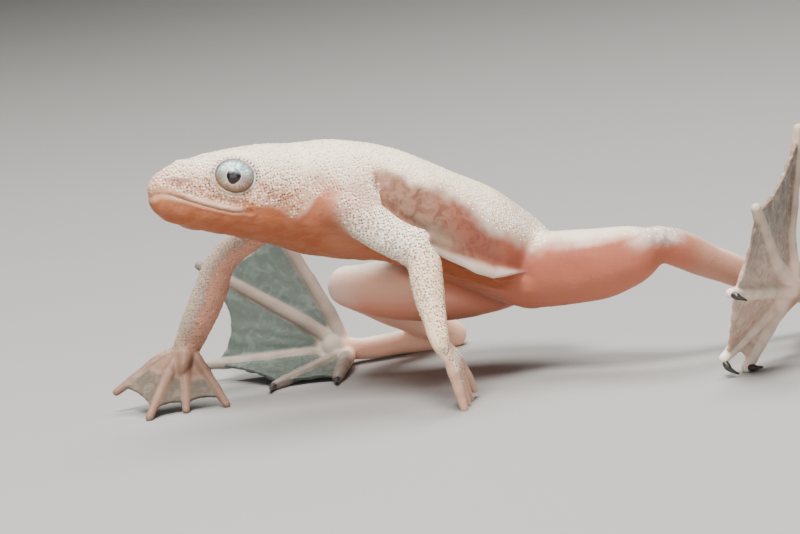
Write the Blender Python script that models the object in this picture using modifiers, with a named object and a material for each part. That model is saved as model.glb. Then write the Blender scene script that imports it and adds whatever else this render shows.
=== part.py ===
"""African dwarf frog (Hymenochirus), albino, life size, standing.

Frame: +Z up, floor at z = 0, head toward -X, the frog's left side toward -Y.
All anatomy below is given in millimetres and scaled once, by MM.

The animal is modelled whole: lofted trunk and head, tapered limbs along the
lines of the bones, thin webs between the digits. The pieces are fused into one
skin, smoothed where a limb grows out of the body, set on small flats at z = 0,
and then parted at the joints by thin slabs.
"""
import math

import bmesh
import bpy
import numpy as np
from mathutils import Matrix, Vector

MM = 0.001

# ---------------------------------------------------------------- sizes (mm)
SNOUT_TO_VENT = 34.0
BODY_PITCH = math.radians(18.8)  # nose-up angle of the body's axis
SNOUT_TIP = (-19.24, 0.0, 18.6)  # world position of the snout's tip
CENTRE = (4.917, -3.379)  # middle of the standing animal, moved to the origin

EYE_RADIUS = 1.5
EYE_TALL = 1.36  # the eyeball's half height
EYE_LOWER = 0.24  # the far eye sits this much lower, the head being held a little rolled
EYE_CENTRE = (5.5, 2.92, 1.86)  # along, aside, above, in the body's frame
SOCKET_GAP = 0.22
WEB = 0.52  # thickness of the webs
DIGIT_TIP = 0.29  # radius of a finger's tip
TOE_RADIUS = (0.62, 0.4)  # of a toe, at its root and at its tip
PALM_REACH = {"left": 1.3, "right": 2.0}  # from the wrist to the middle of the palm
FOOT_RADIUS = {"left": 0.88, "right": 1.12}  # where the toes set out
CLAW_LENGTH = (0.85, 1.25, 0.95)  # on toes I, II and III
CLAW_RADIUS = 0.27
PART_GAP = 0.26  # width of the thin cuts between the named parts
FINE = 0.2  # cell of the fused surface
THIGH_SAG = {"left": (0.0, 0.4, 0.68, 0.42), "right": (0.7, 1.0, 0.8, 0.45)}  # below the line from hip to knee
SHIN_SIZE = {"left": (1.22, 1.46, 1.3, 1.18, 1.05, 1.05), "right": (1.68, 1.6, 1.6, 1.4, 1.25, 1.22)}
SINK = 0.12  # how far the soles are pressed flat
TRIANGLES = {  # of each named part, left and right alike
    "head": 1450,
    "trunk": 1540,
    "upper_arm": 230,
    "forearm": 240,
    "hand": 560,
    "thigh": 320,
    "shin": 320,
    "tarsus": 200,
    "foot": 900,
}

# Trunk and head, in the body's frame: distance from the snout's tip, back
# line, belly line, half width, height of the widest line, roundness.
BODY_STATIONS = (
    (0.08, 0.14, -0.55, 0.36, -0.10, 2.0),
    (0.45, 0.88, -1.30, 0.98, -0.05, 2.1),
    (1.20, 1.65, -1.98, 1.62, -0.05, 2.1),
    (2.40, 2.42, -2.36, 2.35, 0.00, 2.2),
    (4.00, 3.12, -2.52, 3.20, 0.05, 2.3),
    (6.00, 3.92, -2.44, 4.05, 0.10, 2.3),
    (8.20, 4.66, -2.46, 4.70, 0.20, 2.3),
    (10.80, 5.26, -2.58, 5.00, 0.40, 2.2),
    (13.60, 6.02, -2.80, 5.35, 0.70, 2.2),
    (16.60, 6.31, -2.62, 5.85, 0.85, 2.2),
    (19.60, 6.18, -2.30, 6.45, 0.80, 2.25),
    (23.00, 5.50, -2.60, 6.85, 0.50, 2.3),
    (26.50, 4.90, -3.10, 6.45, 0.20, 2.3),
    (29.50, 3.84, -3.65, 5.20, 0.00, 2.2),
    (32.00, 2.68, -3.90, 3.90, -0.30, 2.1),
    (33.60, 1.45, -3.40, 2.60, -0.60, 2.0),
    (34.50, 0.30, -2.30, 1.20, -0.90, 2.0),
)

# Joints of the limbs, world positions. L is the near side (-Y), R the far one.
SHOULDER = {"left": (-5.8, -5.0, 15.3), "right": (-6.0, 5.0, 15.2)}
ELBOW = {"left": (-1.7, -8.92, 11.4), "right": (-11.35, 8.0, 11.1)}
WRIST = {"left": (-2.5, -12.93, 5.45), "right": (-14.55, 10.0, 4.42)}
HIP = {"left": (9.2, -2.8, 7.9), "right": (9.2, 2.8, 7.9)}
KNEE = {"left": (16.3, -11.5, 9.88), "right": (-0.85, 9.5, 7.1)}
ANKLE = {"left": (29.5, -9.4, 3.68), "right": (9.25, 14.0, 1.0)}
HUB = {"left": (24.7, -17.0, 5.45), "right": (-0.1, 14.0, 1.25)}

# Tips of the fingers (four a hand) and of the toes (five a foot, I to V).
FINGER_TIPS = {
    "left": ((-1.15, -12.8, 0.3), (-0.25, -11.3, 0.3), (0.6, -9.8, 0.3), (1.4, -8.9, 0.8)),
    "right": ((-20.4, 10.7, 1.8), (-19.6, 5.6, 0.32), (-16.5, 5.9, 0.32), (-13.4, 5.3, 0.32)),
}
TOE_TIPS = {
    "left": (
        (19.55, -17.95, 0.43),
        (17.5, -18.6, 1.55),
        (15.9, -24.2, 7.3),
        (18.0, -25.35, 13.3),
        (25.3, -18.9, 17.6),
    ),
    "right": (
        (-3.5, 7.2, 0.43),
        (-8.0, 9.0, 0.43),
        (-10.6, 16.4, 1.6),
        (-9.9, 18.6, 9.3),
        (-4.0, 17.3, 12.6),
    ),
}
BODY_WAY = (math.cos(BODY_PITCH), 0.0, -math.sin(BODY_PITCH))  # the body's axis, backwards
# The way each sole's or palm's digits arch out of their straight line.
FINGER_ARCH = {"left": (0.5, -0.3, 0.25), "right": (-0.1, 0.35, 0.5)}
TOE_ARCH = {"left": (-0.7, 0.25, 0.1), "right": (0.0, -0.5, 0.25)}
# How far each web's free edge is drawn in between its two digits.
HAND_WEB_DIP = {"left": 0.34, "right": 0.06}
FOOT_WEB_DIP = {"left": (0.1, 0.03, 0.06, 0.1), "right": (0.1, 0.06, 0.14, 0.1)}
CLAW_TURN = {"left": (1.0, -0.35, -0.5), "right": (-0.1, -0.3, -0.9)}


# ------------------------------------------------------------ frames, curves
def body_point(along, aside, above):
    """World position (mm) of a point given in the body's frame."""
    c, s = math.cos(BODY_PITCH), math.sin(BODY_PITCH)
    return (
        SNOUT_TIP[0] + along * c + above * s,
        SNOUT_TIP[1] + aside,
        SNOUT_TIP[2] - along * s + above * c,
    )


def eye_point(sign):
    """Middle of an eyeball: -1 for the left one, 1 for the right one."""
    along, aside, above = EYE_CENTRE
    return body_point(along, sign * aside, above - (EYE_LOWER if sign > 0 else 0.0))


def through(rows, per_span=6):
    """A smooth curve through the rows, column by column (Catmull-Rom)."""
    rows = np.array(rows, float)
    ends = np.vstack([2 * rows[0] - rows[1], rows, 2 * rows[-1] - rows[-2]])
    out = []
    for i in range(1, len(ends) - 2):
        a, b, c, d = ends[i - 1 : i + 3]
        for k in range(per_span):
            t = k / per_span
            out.append(
                0.5
                * (
                    2 * b
                    + (c - a) * t
                    + (2 * a - 5 * b + 4 * c - d) * t**2
                    + (3 * b - a - 3 * c + d) * t**3
                )
            )
    out.append(rows[-1])
    return np.array(out)


def unit(v):
    v = np.asarray(v, float)
    return v / max(np.linalg.norm(v), 1e-12)


def towards(a, b, share):
    return np.asarray(a, float) * (1 - share) + np.asarray(b, float) * share


# ------------------------------------------------------------------- shapes
def loft(bm, rings):
    """A closed skin over rings of equal count, with a fan at each end."""
    loops = [[bm.verts.new(p) for p in ring] for ring in rings]
    n = len(loops[0])
    for a, b in zip(loops, loops[1:]):
        for i in range(n):
            bm.faces.new((a[i], a[(i + 1) % n], b[(i + 1) % n], b[i]))
    for loop, flip in ((loops[0], True), (loops[-1], False)):
        middle = bm.verts.new(sum((v.co for v in loop), Vector()) / n)
        for i in range(n):
            pair = (loop[(i + 1) % n], loop[i]) if flip else (loop[i], loop[(i + 1) % n])
            bm.faces.new((*pair, middle))


def tube(bm, rows, flat_way=(0.0, 0.0, 1.0), sides=16, per_span=6):
    """A limb along rows of (x, y, z, radius, share across flat_way)."""
    rows = [tuple(r) + (1.0,) * (5 - len(r)) for r in rows]
    path = through(rows, per_span)
    centre, radius, share = path[:, :3], path[:, 3], path[:, 4]
    tangent = np.gradient(centre, axis=0)
    rings = []

    def ring(c, t, r, k):
        t = unit(t)
        flat = np.asarray(flat_way, float)
        flat = unit(flat - t * np.dot(flat, t))
        wide = np.cross(t, flat)
        return [
            Vector(c + r * (math.cos(a) * wide + k * math.sin(a) * flat))
            for a in (2 * math.pi * i / sides for i in range(sides))
        ]

    for angle in (75, 45, 20):
        a = math.radians(angle)
        rings.append(
            ring(centre[0] - unit(tangent[0]) * radius[0] * math.sin(a), tangent[0], radius[0] * math.cos(a), share[0])
        )
    for c, t, r, k in zip(centre, tangent, radius, share):
        rings.append(ring(c, t, r, k))
    for angle in (20, 45, 75):
        a = math.radians(angle)
        rings.append(
            ring(centre[-1] + unit(tangent[-1]) * radius[-1] * math.sin(a), tangent[-1], radius[-1] * math.cos(a), share[-1])
        )
    loft(bm, rings)


def blob(bm, centre, radii, turn=None):
    """An ellipsoid of muscle; turn's first column is its long axis."""
    matrix = Matrix.Translation(centre)
    if turn is not None:
        matrix = matrix @ Vector((1, 0, 0)).rotation_difference(Vector(turn)).to_matrix().to_4x4()
    matrix = matrix @ Matrix.Diagonal((*radii, 1.0))
    bmesh.ops.create_uvsphere(bm, u_segments=24, v_segments=14, radius=1.0, matrix=matrix)


def digit_path(root, tip, arch, bend=0.45):
    """Centre line of a finger or toe, arched out of its straight line."""
    root, tip = np.asarray(root, float), np.asarray(tip, float)
    size = np.linalg.norm(tip - root)
    rows = []
    for share in (0.0, 0.25, 0.5, 0.75, 1.0):
        lift = math.sin(math.pi * share**bend) * 0.07 * size
        rows.append(towards(root, tip, share) + np.asarray(arch, float) * lift)
    return through(rows, 8)


def web(bm, path_a, path_b, reach, dip, thickness):
    """A thin sheet between two digits, its free edge drawn in by dip."""
    across, out = 10, 16

    def at(path, share):
        share = min(max(share, 0.0), 1.0) * (len(path) - 1)
        i = min(int(share), len(path) - 2)
        return towards(path[i], path[i + 1], share - i)

    grid = []
    for j in range(across + 1):
        s = j / across
        edge = towards([reach[0]], [reach[1]], s)[0] * (1 - dip * 4 * s * (1 - s))
        grid.append([towards(at(path_a, edge * i / out), at(path_b, edge * i / out), s) for i in range(out + 1)])
    grid = np.array(grid)
    du = np.gradient(grid, axis=0)
    dv = np.gradient(grid, axis=1)
    normal = np.cross(du, dv)
    size = np.linalg.norm(normal, axis=2, keepdims=True)
    mean = unit(normal.reshape(-1, 3).sum(0))
    normal = np.where(size > 1e-6, normal / np.maximum(size, 1e-12), mean)
    top, bottom = grid + normal * thickness / 2, grid - normal * thickness / 2
    rings = []
    for j in range(across + 1):
        ring = [Vector(p) for p in top[j]] + [Vector(p) for p in bottom[j][::-1]]
        rings.append(ring)
    loft(bm, rings)


# ------------------------------------------------------------------ anatomy
def trunk(bm):
    """Head and trunk: one loft of rounded sections along the body's axis."""
    rows = through(BODY_STATIONS, 5)
    count = 56
    rings = []
    for along, top, bottom, half, widest, power in rows:
        ring = []
        for i in range(count):
            a = 2 * math.pi * i / count
            c, s = math.cos(a), math.sin(a)
            aside = half * math.copysign(abs(c) ** (2 / power), c)
            reach = (top - widest) if s >= 0 else (widest - bottom)
            above = widest + reach * math.copysign(abs(s) ** (2 / power), s)
            ring.append(Vector(body_point(along, aside, above)))
        rings.append(ring)
    loft(bm, rings)


def head_forms(bm):
    """Orbits, cheeks and the muscles of the jaw."""
    for side in (-1, 1):
        along, aside, above = EYE_CENTRE
        lower = EYE_LOWER + 0.16 if side > 0 else 0.0
        blob(bm, body_point(along, side * (aside - 0.9), above - 0.3 - lower), (2.3, 1.8, 1.6))
        blob(bm, body_point(2.5, side * 1.0, 1.83), (0.5, 0.5, 0.66))
        blob(bm, body_point(9.2, side * 3.0, 0.8), (2.6, 1.7, 2.0))


def arm(bm, side):
    """One arm, from inside the chest to the palm."""
    s, e, w = (np.array(j[side]) for j in (SHOULDER, ELBOW, WRIST))
    sign = -1 if side == "left" else 1
    root = s + np.array((-1.5, -1.9 * sign, 0.5))
    palm = w + unit(np.mean(FINGER_TIPS[side], axis=0) - w) * PALM_REACH[side]
    if side == "left":
        size = (2.2, 1.75, 1.48, 1.3, 1.22, 0.98, 0.7, 0.84)
    else:
        size = (2.0, 1.5, 1.22, 1.16, 1.3, 1.28, 1.1, 1.35)
    tube(
        bm,
        [
            (*root, size[0]),
            (*s, size[1]),
            (*towards(s, e, 0.55), size[2]),
            (*e, size[3]),
            (*towards(e, w, 0.35), size[4]),
            (*towards(e, w, 0.68), size[5]),
            (*w, size[6]),
            (*palm, size[7], 0.5),
        ],
        flat_way=FINGER_ARCH[side],
    )
    # Skin fold from the chest to the back of the upper arm.
    blob(bm, s + np.array((1.2, 0.9 * -sign, -1.3)), (2.4, 1.6, 1.7), tuple(e - s))
    blob(bm, s + np.array((-0.3, -0.7 * sign, 0.3)), (2.6, 1.7, 2.1), tuple(e - s))


def finger_paths(side):
    w = np.array(WRIST[side])
    tips = np.array(FINGER_TIPS[side])
    middle = tips.mean(0)
    return [
        digit_path(w + (tip - middle) * 0.12 + unit(middle - w) * 0.5, tip, FINGER_ARCH[side])
        for tip in tips
    ]


def toe_paths(side):
    hub = np.array(HUB[side])
    tips = np.array(TOE_TIPS[side])
    middle = tips.mean(0)
    return [
        digit_path(hub + unit(tip - middle) * 0.42, tip, TOE_ARCH[side]) for tip in tips
    ]


def leg(bm, side):
    """One hind leg: thigh, shin and tarsus, down to the hub of the toes."""
    h, k, a, f = (np.array(j[side]) for j in (HIP, KNEE, ANKLE, HUB))
    sign = -1 if side == "left" else 1
    root = h + np.array((-0.8, -1.2 * sign, 0.0))
    foot = f + unit(np.mean(TOE_TIPS[side], axis=0) - f) * 1.0
    # The thigh's muscle hangs a little below the line from hip to knee.
    sag = [np.array((0.0, 0.0, -drop)) for drop in THIGH_SAG[side]]
    tube(
        bm,
        [
            (*root, 2.5),
            (*(h + sag[0]), 2.85),
            (*(towards(h, k, 0.3) + sag[1]), 2.88),
            (*(towards(h, k, 0.62) + sag[2]), 2.62),
            (*(towards(h, k, 0.86) + sag[3]), 2.08),
            (*k, SHIN_SIZE[side][0]),
        ],
        sides=20,
    )
    size = SHIN_SIZE[side]
    low = np.array((0.0, 0.0, -0.2 if side == "left" else 0.0))
    tube(
        bm,
        [
            (*k, size[0]),
            (*towards(k, a, 0.15), size[1]),
            (*(towards(k, a, 0.37) + low), size[2]),
            (*(towards(k, a, 0.66) + low), size[3]),
            (*towards(k, a, 0.9), size[4]),
            (*a, size[5]),
        ],
        sides=20,
    )
    tube(
        bm,
        [
            (*a, size[5] - 0.02),
            (*towards(a, f, 0.15), size[5] - 0.06),
            (*towards(a, f, 0.5), 1.0),
            (*towards(a, f, 0.85), 0.92),
            (*foot, FOOT_RADIUS[side], 0.7),
        ],
        flat_way=TOE_ARCH[side],
        sides=20,
    )


def digits(bm, thickness):
    """Fingers, toes and the webs between them."""
    for side in ("left", "right"):
        paths = finger_paths(side)
        for path in paths:
            steps = np.linspace(0, 1, len(path))
            radius = 0.52 - (0.52 - DIGIT_TIP - 0.02) * steps
            rows = [(*p, r) for p, r in zip(path[::4], radius[::4])]
            tube(bm, rows, flat_way=FINGER_ARCH[side], sides=12, per_span=3)
        for a, b in zip(paths, paths[1:]):
            web(bm, a, b, (0.88, 0.88), HAND_WEB_DIP[side], thickness)
        paths = toe_paths(side)
        for path in paths:
            steps = np.linspace(0, 1, len(path))
            radius = TOE_RADIUS[0] - (TOE_RADIUS[0] - TOE_RADIUS[1]) * steps**1.2
            rows = [(*p, r) for p, r in zip(path[::4], radius[::4])]
            tube(bm, rows, flat_way=TOE_ARCH[side], sides=12, per_span=3)
        for a, b, dip in zip(paths, paths[1:], FOOT_WEB_DIP[side]):
            web(bm, a, b, (0.95, 0.95), dip, thickness)


def flank_folds(bm):
    """The fold of loose skin that runs from the armpit to the groin."""
    for sign in (-1, 1):
        rows = [
            (*body_point(17.5, sign * 5.3, 0.6), 0.5),
            (*body_point(20.0, sign * 6.15, 0.2), 0.62),
            (*body_point(22.6, sign * 6.45, -0.55), 0.7),
            (*body_point(25.2, sign * 6.2, -1.45), 0.72),
            (*body_point(27.3, sign * 5.5, -1.6), 0.66),
            (*body_point(29.0, sign * 4.6, -1.2), 0.5),
        ]
        tube(bm, rows, sides=12)


# ------------------------------------------------------------------ fusing
def mesh_object(name, bm, collection):
    bmesh.ops.recalc_face_normals(bm, faces=bm.faces)
    mesh = bpy.data.meshes.new(name)
    bm.to_mesh(mesh)
    bm.free()
    item = bpy.data.objects.new(name, mesh)
    collection.objects.link(item)
    return item


def evaluated(item):
    """The item's mesh with its modifiers applied."""
    bpy.context.view_layer.update()
    graph = bpy.context.evaluated_depsgraph_get()
    mesh = bpy.data.meshes.new_from_object(item.evaluated_get(graph))
    old = item.data
    item.modifiers.clear()
    item.data = mesh
    bpy.data.meshes.remove(old)
    return item


def fuse(item, cell):
    remesh = item.modifiers.new("Fuse", "REMESH")
    remesh.mode = "VOXEL"
    remesh.voxel_size = cell
    remesh.adaptivity = 0.0
    return evaluated(item)


def arrays(mesh):
    points = np.empty(len(mesh.vertices) * 3)
    mesh.vertices.foreach_get("co", points)
    edges = np.empty(len(mesh.edges) * 2, dtype=np.int64)
    mesh.edges.foreach_get("vertices", edges)
    return points.reshape(-1, 3), edges.reshape(-1, 2)


def relax(mesh, weight, rounds):
    """Laplacian smoothing with a weight for each vertex."""
    points, edges = arrays(mesh)
    n = len(points)
    ends = np.concatenate([edges[:, 0], edges[:, 1]])
    other = np.concatenate([edges[:, 1], edges[:, 0]])
    count = np.maximum(np.bincount(ends, minlength=n), 1)
    w = weight(points)[:, None]
    for _ in range(rounds):
        mean = np.stack(
            [np.bincount(ends, points[other, k], minlength=n) / count for k in range(3)], axis=1
        )
        points = points + w * (mean - points)
    mesh.vertices.foreach_set("co", points.ravel())
    mesh.update()


def near(points, centre, radius):
    """1 at the centre, falling smoothly to 0 at the radius."""
    d = np.linalg.norm(points - np.asarray(centre, float), axis=1) / radius
    return np.clip(1 - d, 0, 1) ** 2 * (1 + 2 * np.clip(d, 0, 1))


def growth_weight(points):
    """Where limbs grow out of the body and at their bends."""
    w = np.full(len(points), 0.06)
    for side, sign in (("left", -1), ("right", 1)):
        s, e = np.array(SHOULDER[side]), np.array(ELBOW[side])
        for centre, radius, size in (
            (s, 4.6, 0.75),
            (towards(s, e, 0.4), 3.0, 0.4),
            (HIP[side], 6.2, 0.75),
            (towards(HIP[side], KNEE[side], 0.3), 4.5, 0.6),
            (eye_point(sign), 4.5, 0.5),
            (body_point(9.2, sign * 3.8, 0.9), 4.5, 0.6),
        ):
            w = np.maximum(w, size * near(points, centre, radius))
    for along, above in ((17.5, 0.6), (20.0, 0.2), (22.6, -0.55), (25.2, -1.45), (27.3, -1.6), (29, -1.2)):
        for sign in (-1, 1):
            w = np.maximum(w, 0.22 * near(points, body_point(along, sign * 6.2, above), 2.2))
    return w


def whole_animal(collection, cell, rounds, web_thickness):
    """The fused body of the animal, in millimetres."""
    bm = bmesh.new()
    trunk(bm)
    head_forms(bm)
    flank_folds(bm)
    for side in ("left", "right"):
        arm(bm, side)
        leg(bm, side)
    core = fuse(mesh_object("core", bm, collection), cell)
    relax(core.data, growth_weight, rounds)
    bm = bmesh.new()
    bm.from_mesh(core.data)
    bpy.data.objects.remove(core)
    digits(bm, web_thickness)
    return mesh_object("body", bm, collection)


# --------------------------------------------------------------- the object
def claw_rows(side, number):
    """Centre line and radii of the curved claw on toe 0, 1 or 2."""
    path = toe_paths(side)[number]
    way = unit(path[-1] - path[-6])
    turn = np.array(CLAW_TURN[side], float)
    if path[-1][2] < 0.6:  # a toe that rests on the floor: its claw lies along it
        turn[2] = way[2] = 0.0
    turn = unit(turn)
    base = path[-1] + unit(way + 1.1 * turn) * (TOE_RADIUS[1] + CLAW_RADIUS + 0.03)
    rows = []
    for share in (0.0, 0.35, 0.7, 1.0):
        p = base + CLAW_LENGTH[number] * (way * (0.42 * share - 0.2 * share**2) + turn * (0.55 * share + 0.28 * share**2))
        rows.append((*p, CLAW_RADIUS * (1 - 0.72 * share)))
    clear = SINK + 0.05
    rows = [(x, y, max(z, clear + r), r) for x, y, z, r in rows]
    return rows


def material(name, colour, roughness, subsurface=0.0):
    mat = bpy.data.materials.new(name)
    mat.use_nodes = True
    shader = mat.node_tree.nodes["Principled BSDF"]
    shader.inputs["Base Color"].default_value = (*colour, 1.0)
    shader.inputs["Roughness"].default_value = roughness
    shader.inputs["Metallic"].default_value = 0.0
    shader.inputs["Subsurface Weight"].default_value = subsurface
    mat.diffuse_color = (*colour, 1.0)
    return mat


def slab(name, point, way, radius, collection):
    """A thin disc across a limb."""
    turn = Vector((0, 0, 1)).rotation_difference(Vector(unit(way))).to_matrix().to_4x4()
    bm = bmesh.new()
    bmesh.ops.create_cone(
        bm,
        cap_ends=True,
        segments=16,
        radius1=radius,
        radius2=radius,
        depth=PART_GAP,
        matrix=Matrix.Translation(point) @ turn,
    )
    return mesh_object(name, bm, collection)


def joint_slab(name, before, joint, after, radius, collection, inward=0.0):
    """A disc on the plane that halves a bend, moved to the bend's inner side."""
    first, second = unit(joint - before), unit(after - joint)
    inner = unit(second - first)
    return slab(name, joint + inner * inward, first + second, radius, collection)


def cup(name, a, b, stations, collection):
    """A thin-walled cup around the limb from a to b, closed toward a.

    stations: (share of the way, outer radius), the first one closed."""
    a, b = np.asarray(a, float), np.asarray(b, float)
    way = unit(b - a)
    turn = Vector((0, 0, 1)).rotation_difference(Vector(way)).to_matrix()
    wall = PART_GAP / np.linalg.norm(b - a)
    outer = [(share, r) for share, r in stations]
    inner = [(stations[0][0] + wall, stations[0][1] - PART_GAP)]
    inner += [(share, r - PART_GAP) for share, r in stations[1:]]
    profile = [(stations[0][0], 0.2)] + outer + inner[::-1] + [(inner[0][0], 0.2)]
    rings = []
    for share, r in profile:
        centre = Vector(towards(a, b, share))
        rings.append(
            [centre + turn @ Vector((r * math.cos(t), r * math.sin(t), 0)) for t in np.linspace(0, 2 * math.pi, 20, False)]
        )
    bm = bmesh.new()
    loft(bm, rings)
    return mesh_object(name, bm, collection)


def parting_slabs(collection):
    """Thin discs at the neck and across every limb at its joints."""
    neck = body_point(10.9, 0, 1.1)
    matrix = (
        Matrix.Translation(neck)
        @ Matrix.Rotation(BODY_PITCH, 4, "Y")
        @ Matrix.Diagonal((PART_GAP, 12.4, 9.6, 1.0))
    )
    bm = bmesh.new()
    bmesh.ops.create_cube(bm, size=1.0, matrix=matrix)
    out = [mesh_object("neck_cutter", bm, collection)]
    for side in ("left", "right"):
        s, e, w = (np.array(j[side]) for j in (SHOULDER, ELBOW, WRIST))
        h, k, a, f = (np.array(j[side]) for j in (HIP, KNEE, ANKLE, HUB))
        middle = np.mean(FINGER_TIPS[side], axis=0)
        folded = side == "right"
        sag = np.array((0.0, 0.0, -THIGH_SAG[side][2]))
        out += [
            cup("armpit_cutter_" + side, s, e, ((0.5, 2.25), (0.65, 2.2), (0.8, 2.15)), collection),
            joint_slab("elbow_cutter_" + side, s, e, w, 2.3, collection),
            joint_slab("wrist_cutter_" + side, e, w, middle, 1.7, collection),
            cup("groin_cutter_" + side, h + sag, k + sag, ((0.4, 3.5), (0.6, 3.15), (0.8, 2.8)), collection),
            joint_slab(
                "knee_cutter_" + side, h, k, a, 4.3 if folded else 2.6, collection, 2.3 if folded else 0.4
            ),
            joint_slab(
                "ankle_cutter_" + side, k, a, f, 3.4 if folded else 3.1, collection, 2.0 if folded else 1.5
            ),
            slab("foot_cutter_" + side, towards(a, f, 0.86), f - a, 1.7, collection),
        ]
    return out


def anchors():
    """A point inside each named part of the body."""
    named = {"head": body_point(6, 0, 0.5), "trunk": body_point(21, 0, 1.0)}
    for side in ("left", "right"):
        s, e, w = (np.array(j[side]) for j in (SHOULDER, ELBOW, WRIST))
        h, k, a, f = (np.array(j[side]) for j in (HIP, KNEE, ANKLE, HUB))
        named["upper_arm_" + side] = towards(s, e, 0.78)
        named["forearm_" + side] = towards(e, w, 0.5)
        named["hand_" + side] = towards(w, np.mean(FINGER_TIPS[side], axis=0), 0.5)
        named["thigh_" + side] = towards(h, k, 0.7)
        named["shin_" + side] = towards(k, a, 0.5)
        named["tarsus_" + side] = towards(a, f, 0.45)
        named["foot_" + side] = towards(f, np.mean(TOE_TIPS[side], axis=0), 0.4)
    return named


def cut(item, cutter, operation="DIFFERENCE"):
    step = item.modifiers.new("Cut", "BOOLEAN")
    step.operation = operation
    step.solver = "MANIFOLD"
    step.object = cutter
    return evaluated(item)


def main():
    for item in list(bpy.data.objects):
        bpy.data.objects.remove(item, do_unlink=True)
    frog = bpy.data.collections.new("african_dwarf_frog")
    cutters = bpy.data.collections.new("cutters")
    for collection in (frog, cutters):
        bpy.context.scene.collection.children.link(collection)

    pale = material("flesh_pale", (0.86, 0.72, 0.66), 0.42, 0.2)
    pink = material("flesh_pink", (0.84, 0.56, 0.48), 0.4, 0.2)
    webbed = material("flesh_webbed", (0.78, 0.68, 0.66), 0.38, 0.2)
    eye_look = material("eye", (0.62, 0.74, 0.76), 0.08)
    claw_look = material("claw", (0.03, 0.028, 0.027), 0.3)

    body = fuse(whole_animal(frog, FINE, 26, WEB), FINE)
    relax(body.data, lambda p: np.full(len(p), 0.25), 1)

    # Sockets for the eyes.
    bm = bmesh.new()
    for sign in (-1, 1):
        wide, tall = EYE_RADIUS + SOCKET_GAP, EYE_TALL + SOCKET_GAP
        blob(bm, eye_point(sign), (wide, wide, tall), BODY_WAY)
    sockets = mesh_object("socket_cutter", bm, cutters)

    # Soles pressed flat on the floor.
    bm = bmesh.new()
    bmesh.ops.create_cube(
        bm, size=1.0, matrix=Matrix.Translation((5, -4, -2.5 + SINK)) @ Matrix.Diagonal((90, 90, 5, 1))
    )
    floor = mesh_object("floor_cutter", bm, cutters)

    slabs = parting_slabs(cutters)

    for cutter in (floor, sockets, *slabs):
        cut(body, cutter)
        cutter.hide_render = True
        cutter.display_type = "WIRE"

    # Each loose body takes the name of the part whose middle it is nearest to.
    bpy.ops.object.select_all(action="DESELECT")
    body.select_set(True)
    bpy.context.view_layer.objects.active = body
    bpy.ops.mesh.separate(type="LOOSE")
    pieces = list(bpy.context.selected_objects)
    named = anchors()
    owners = {}
    for piece in pieces:
        points, _ = arrays(piece.data)
        middle = points.mean(0)
        name = min(named, key=lambda n: np.linalg.norm(np.asarray(named[n]) - middle))
        owners.setdefault(name, []).append((len(points), piece))
    shift = np.array((-CENTRE[0], -CENTRE[1], -SINK))
    for name, found in owners.items():
        found.sort(key=lambda pair: pair[0], reverse=True)
        for _, crumb in found[1:]:
            bpy.data.objects.remove(crumb)
        item = found[0][1]
        item.name = item.data.name = name
        kind = name.replace("_left", "").replace("_right", "")
        thin = item.modifiers.new("Thin", "DECIMATE")
        thin.ratio = TRIANGLES[kind] / sum(len(p.vertices) - 2 for p in item.data.polygons)
        evaluated(item)
        item.data.name = name
        item.data.transform(Matrix.Scale(MM, 4) @ Matrix.Translation(shift))
        part = bmesh.new()
        part.from_mesh(item.data)
        for vert in part.verts:  # the soles stay level where they were pressed flat
            if vert.co.z < 0.045 * MM:
                vert.co.z = 0.0
        bmesh.ops.triangulate(part, faces=part.faces)
        bmesh.ops.remove_doubles(part, verts=part.verts, dist=2e-6)
        part.to_mesh(item.data)
        part.free()
        if name in ("head", "trunk"):
            look = pale
        elif name.startswith(("hand", "foot")):
            look = webbed
        else:
            look = pink
        item.data.materials.append(look)
        item.data.shade_smooth()
        item.data.set_sharp_from_angle(angle=math.radians(50))

    for side, sign in (("left", -1), ("right", 1)):
        part = bmesh.new()
        place = Matrix.Translation((np.array(eye_point(sign)) + shift) * MM)
        lean = Vector((1, 0, 0)).rotation_difference(Vector(BODY_WAY)).to_matrix().to_4x4()
        size = Matrix.Diagonal((EYE_RADIUS * MM, EYE_RADIUS * MM, EYE_TALL * MM, 1))
        bmesh.ops.create_uvsphere(part, u_segments=18, v_segments=11, radius=1.0, matrix=place @ lean @ size)
        eye = mesh_object("eye_" + side, part, frog)
        eye.data.materials.append(eye_look)
        eye.data.shade_smooth()
        for number in range(3):
            part = bmesh.new()
            rows = [((np.array(r[:3]) + shift) * MM).tolist() + [r[3] * MM] for r in claw_rows(side, number)]
            tube(part, rows, flat_way=(0.3, 0.2, 1.0), sides=6, per_span=1)
            claw = mesh_object("claw_%s_%d" % (side, number + 1), part, frog)
            claw.data.materials.append(claw_look)
            claw.data.shade_smooth()


if __name__ == "__main__":
    main()
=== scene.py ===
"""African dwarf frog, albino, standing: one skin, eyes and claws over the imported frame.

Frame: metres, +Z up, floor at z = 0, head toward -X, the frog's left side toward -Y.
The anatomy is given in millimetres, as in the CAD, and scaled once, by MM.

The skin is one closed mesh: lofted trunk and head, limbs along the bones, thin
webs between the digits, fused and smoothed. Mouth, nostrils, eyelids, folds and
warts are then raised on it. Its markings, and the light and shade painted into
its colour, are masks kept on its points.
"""

import math

import bmesh
import bpy
import numpy as np
from mathutils import Matrix, Vector


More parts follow.
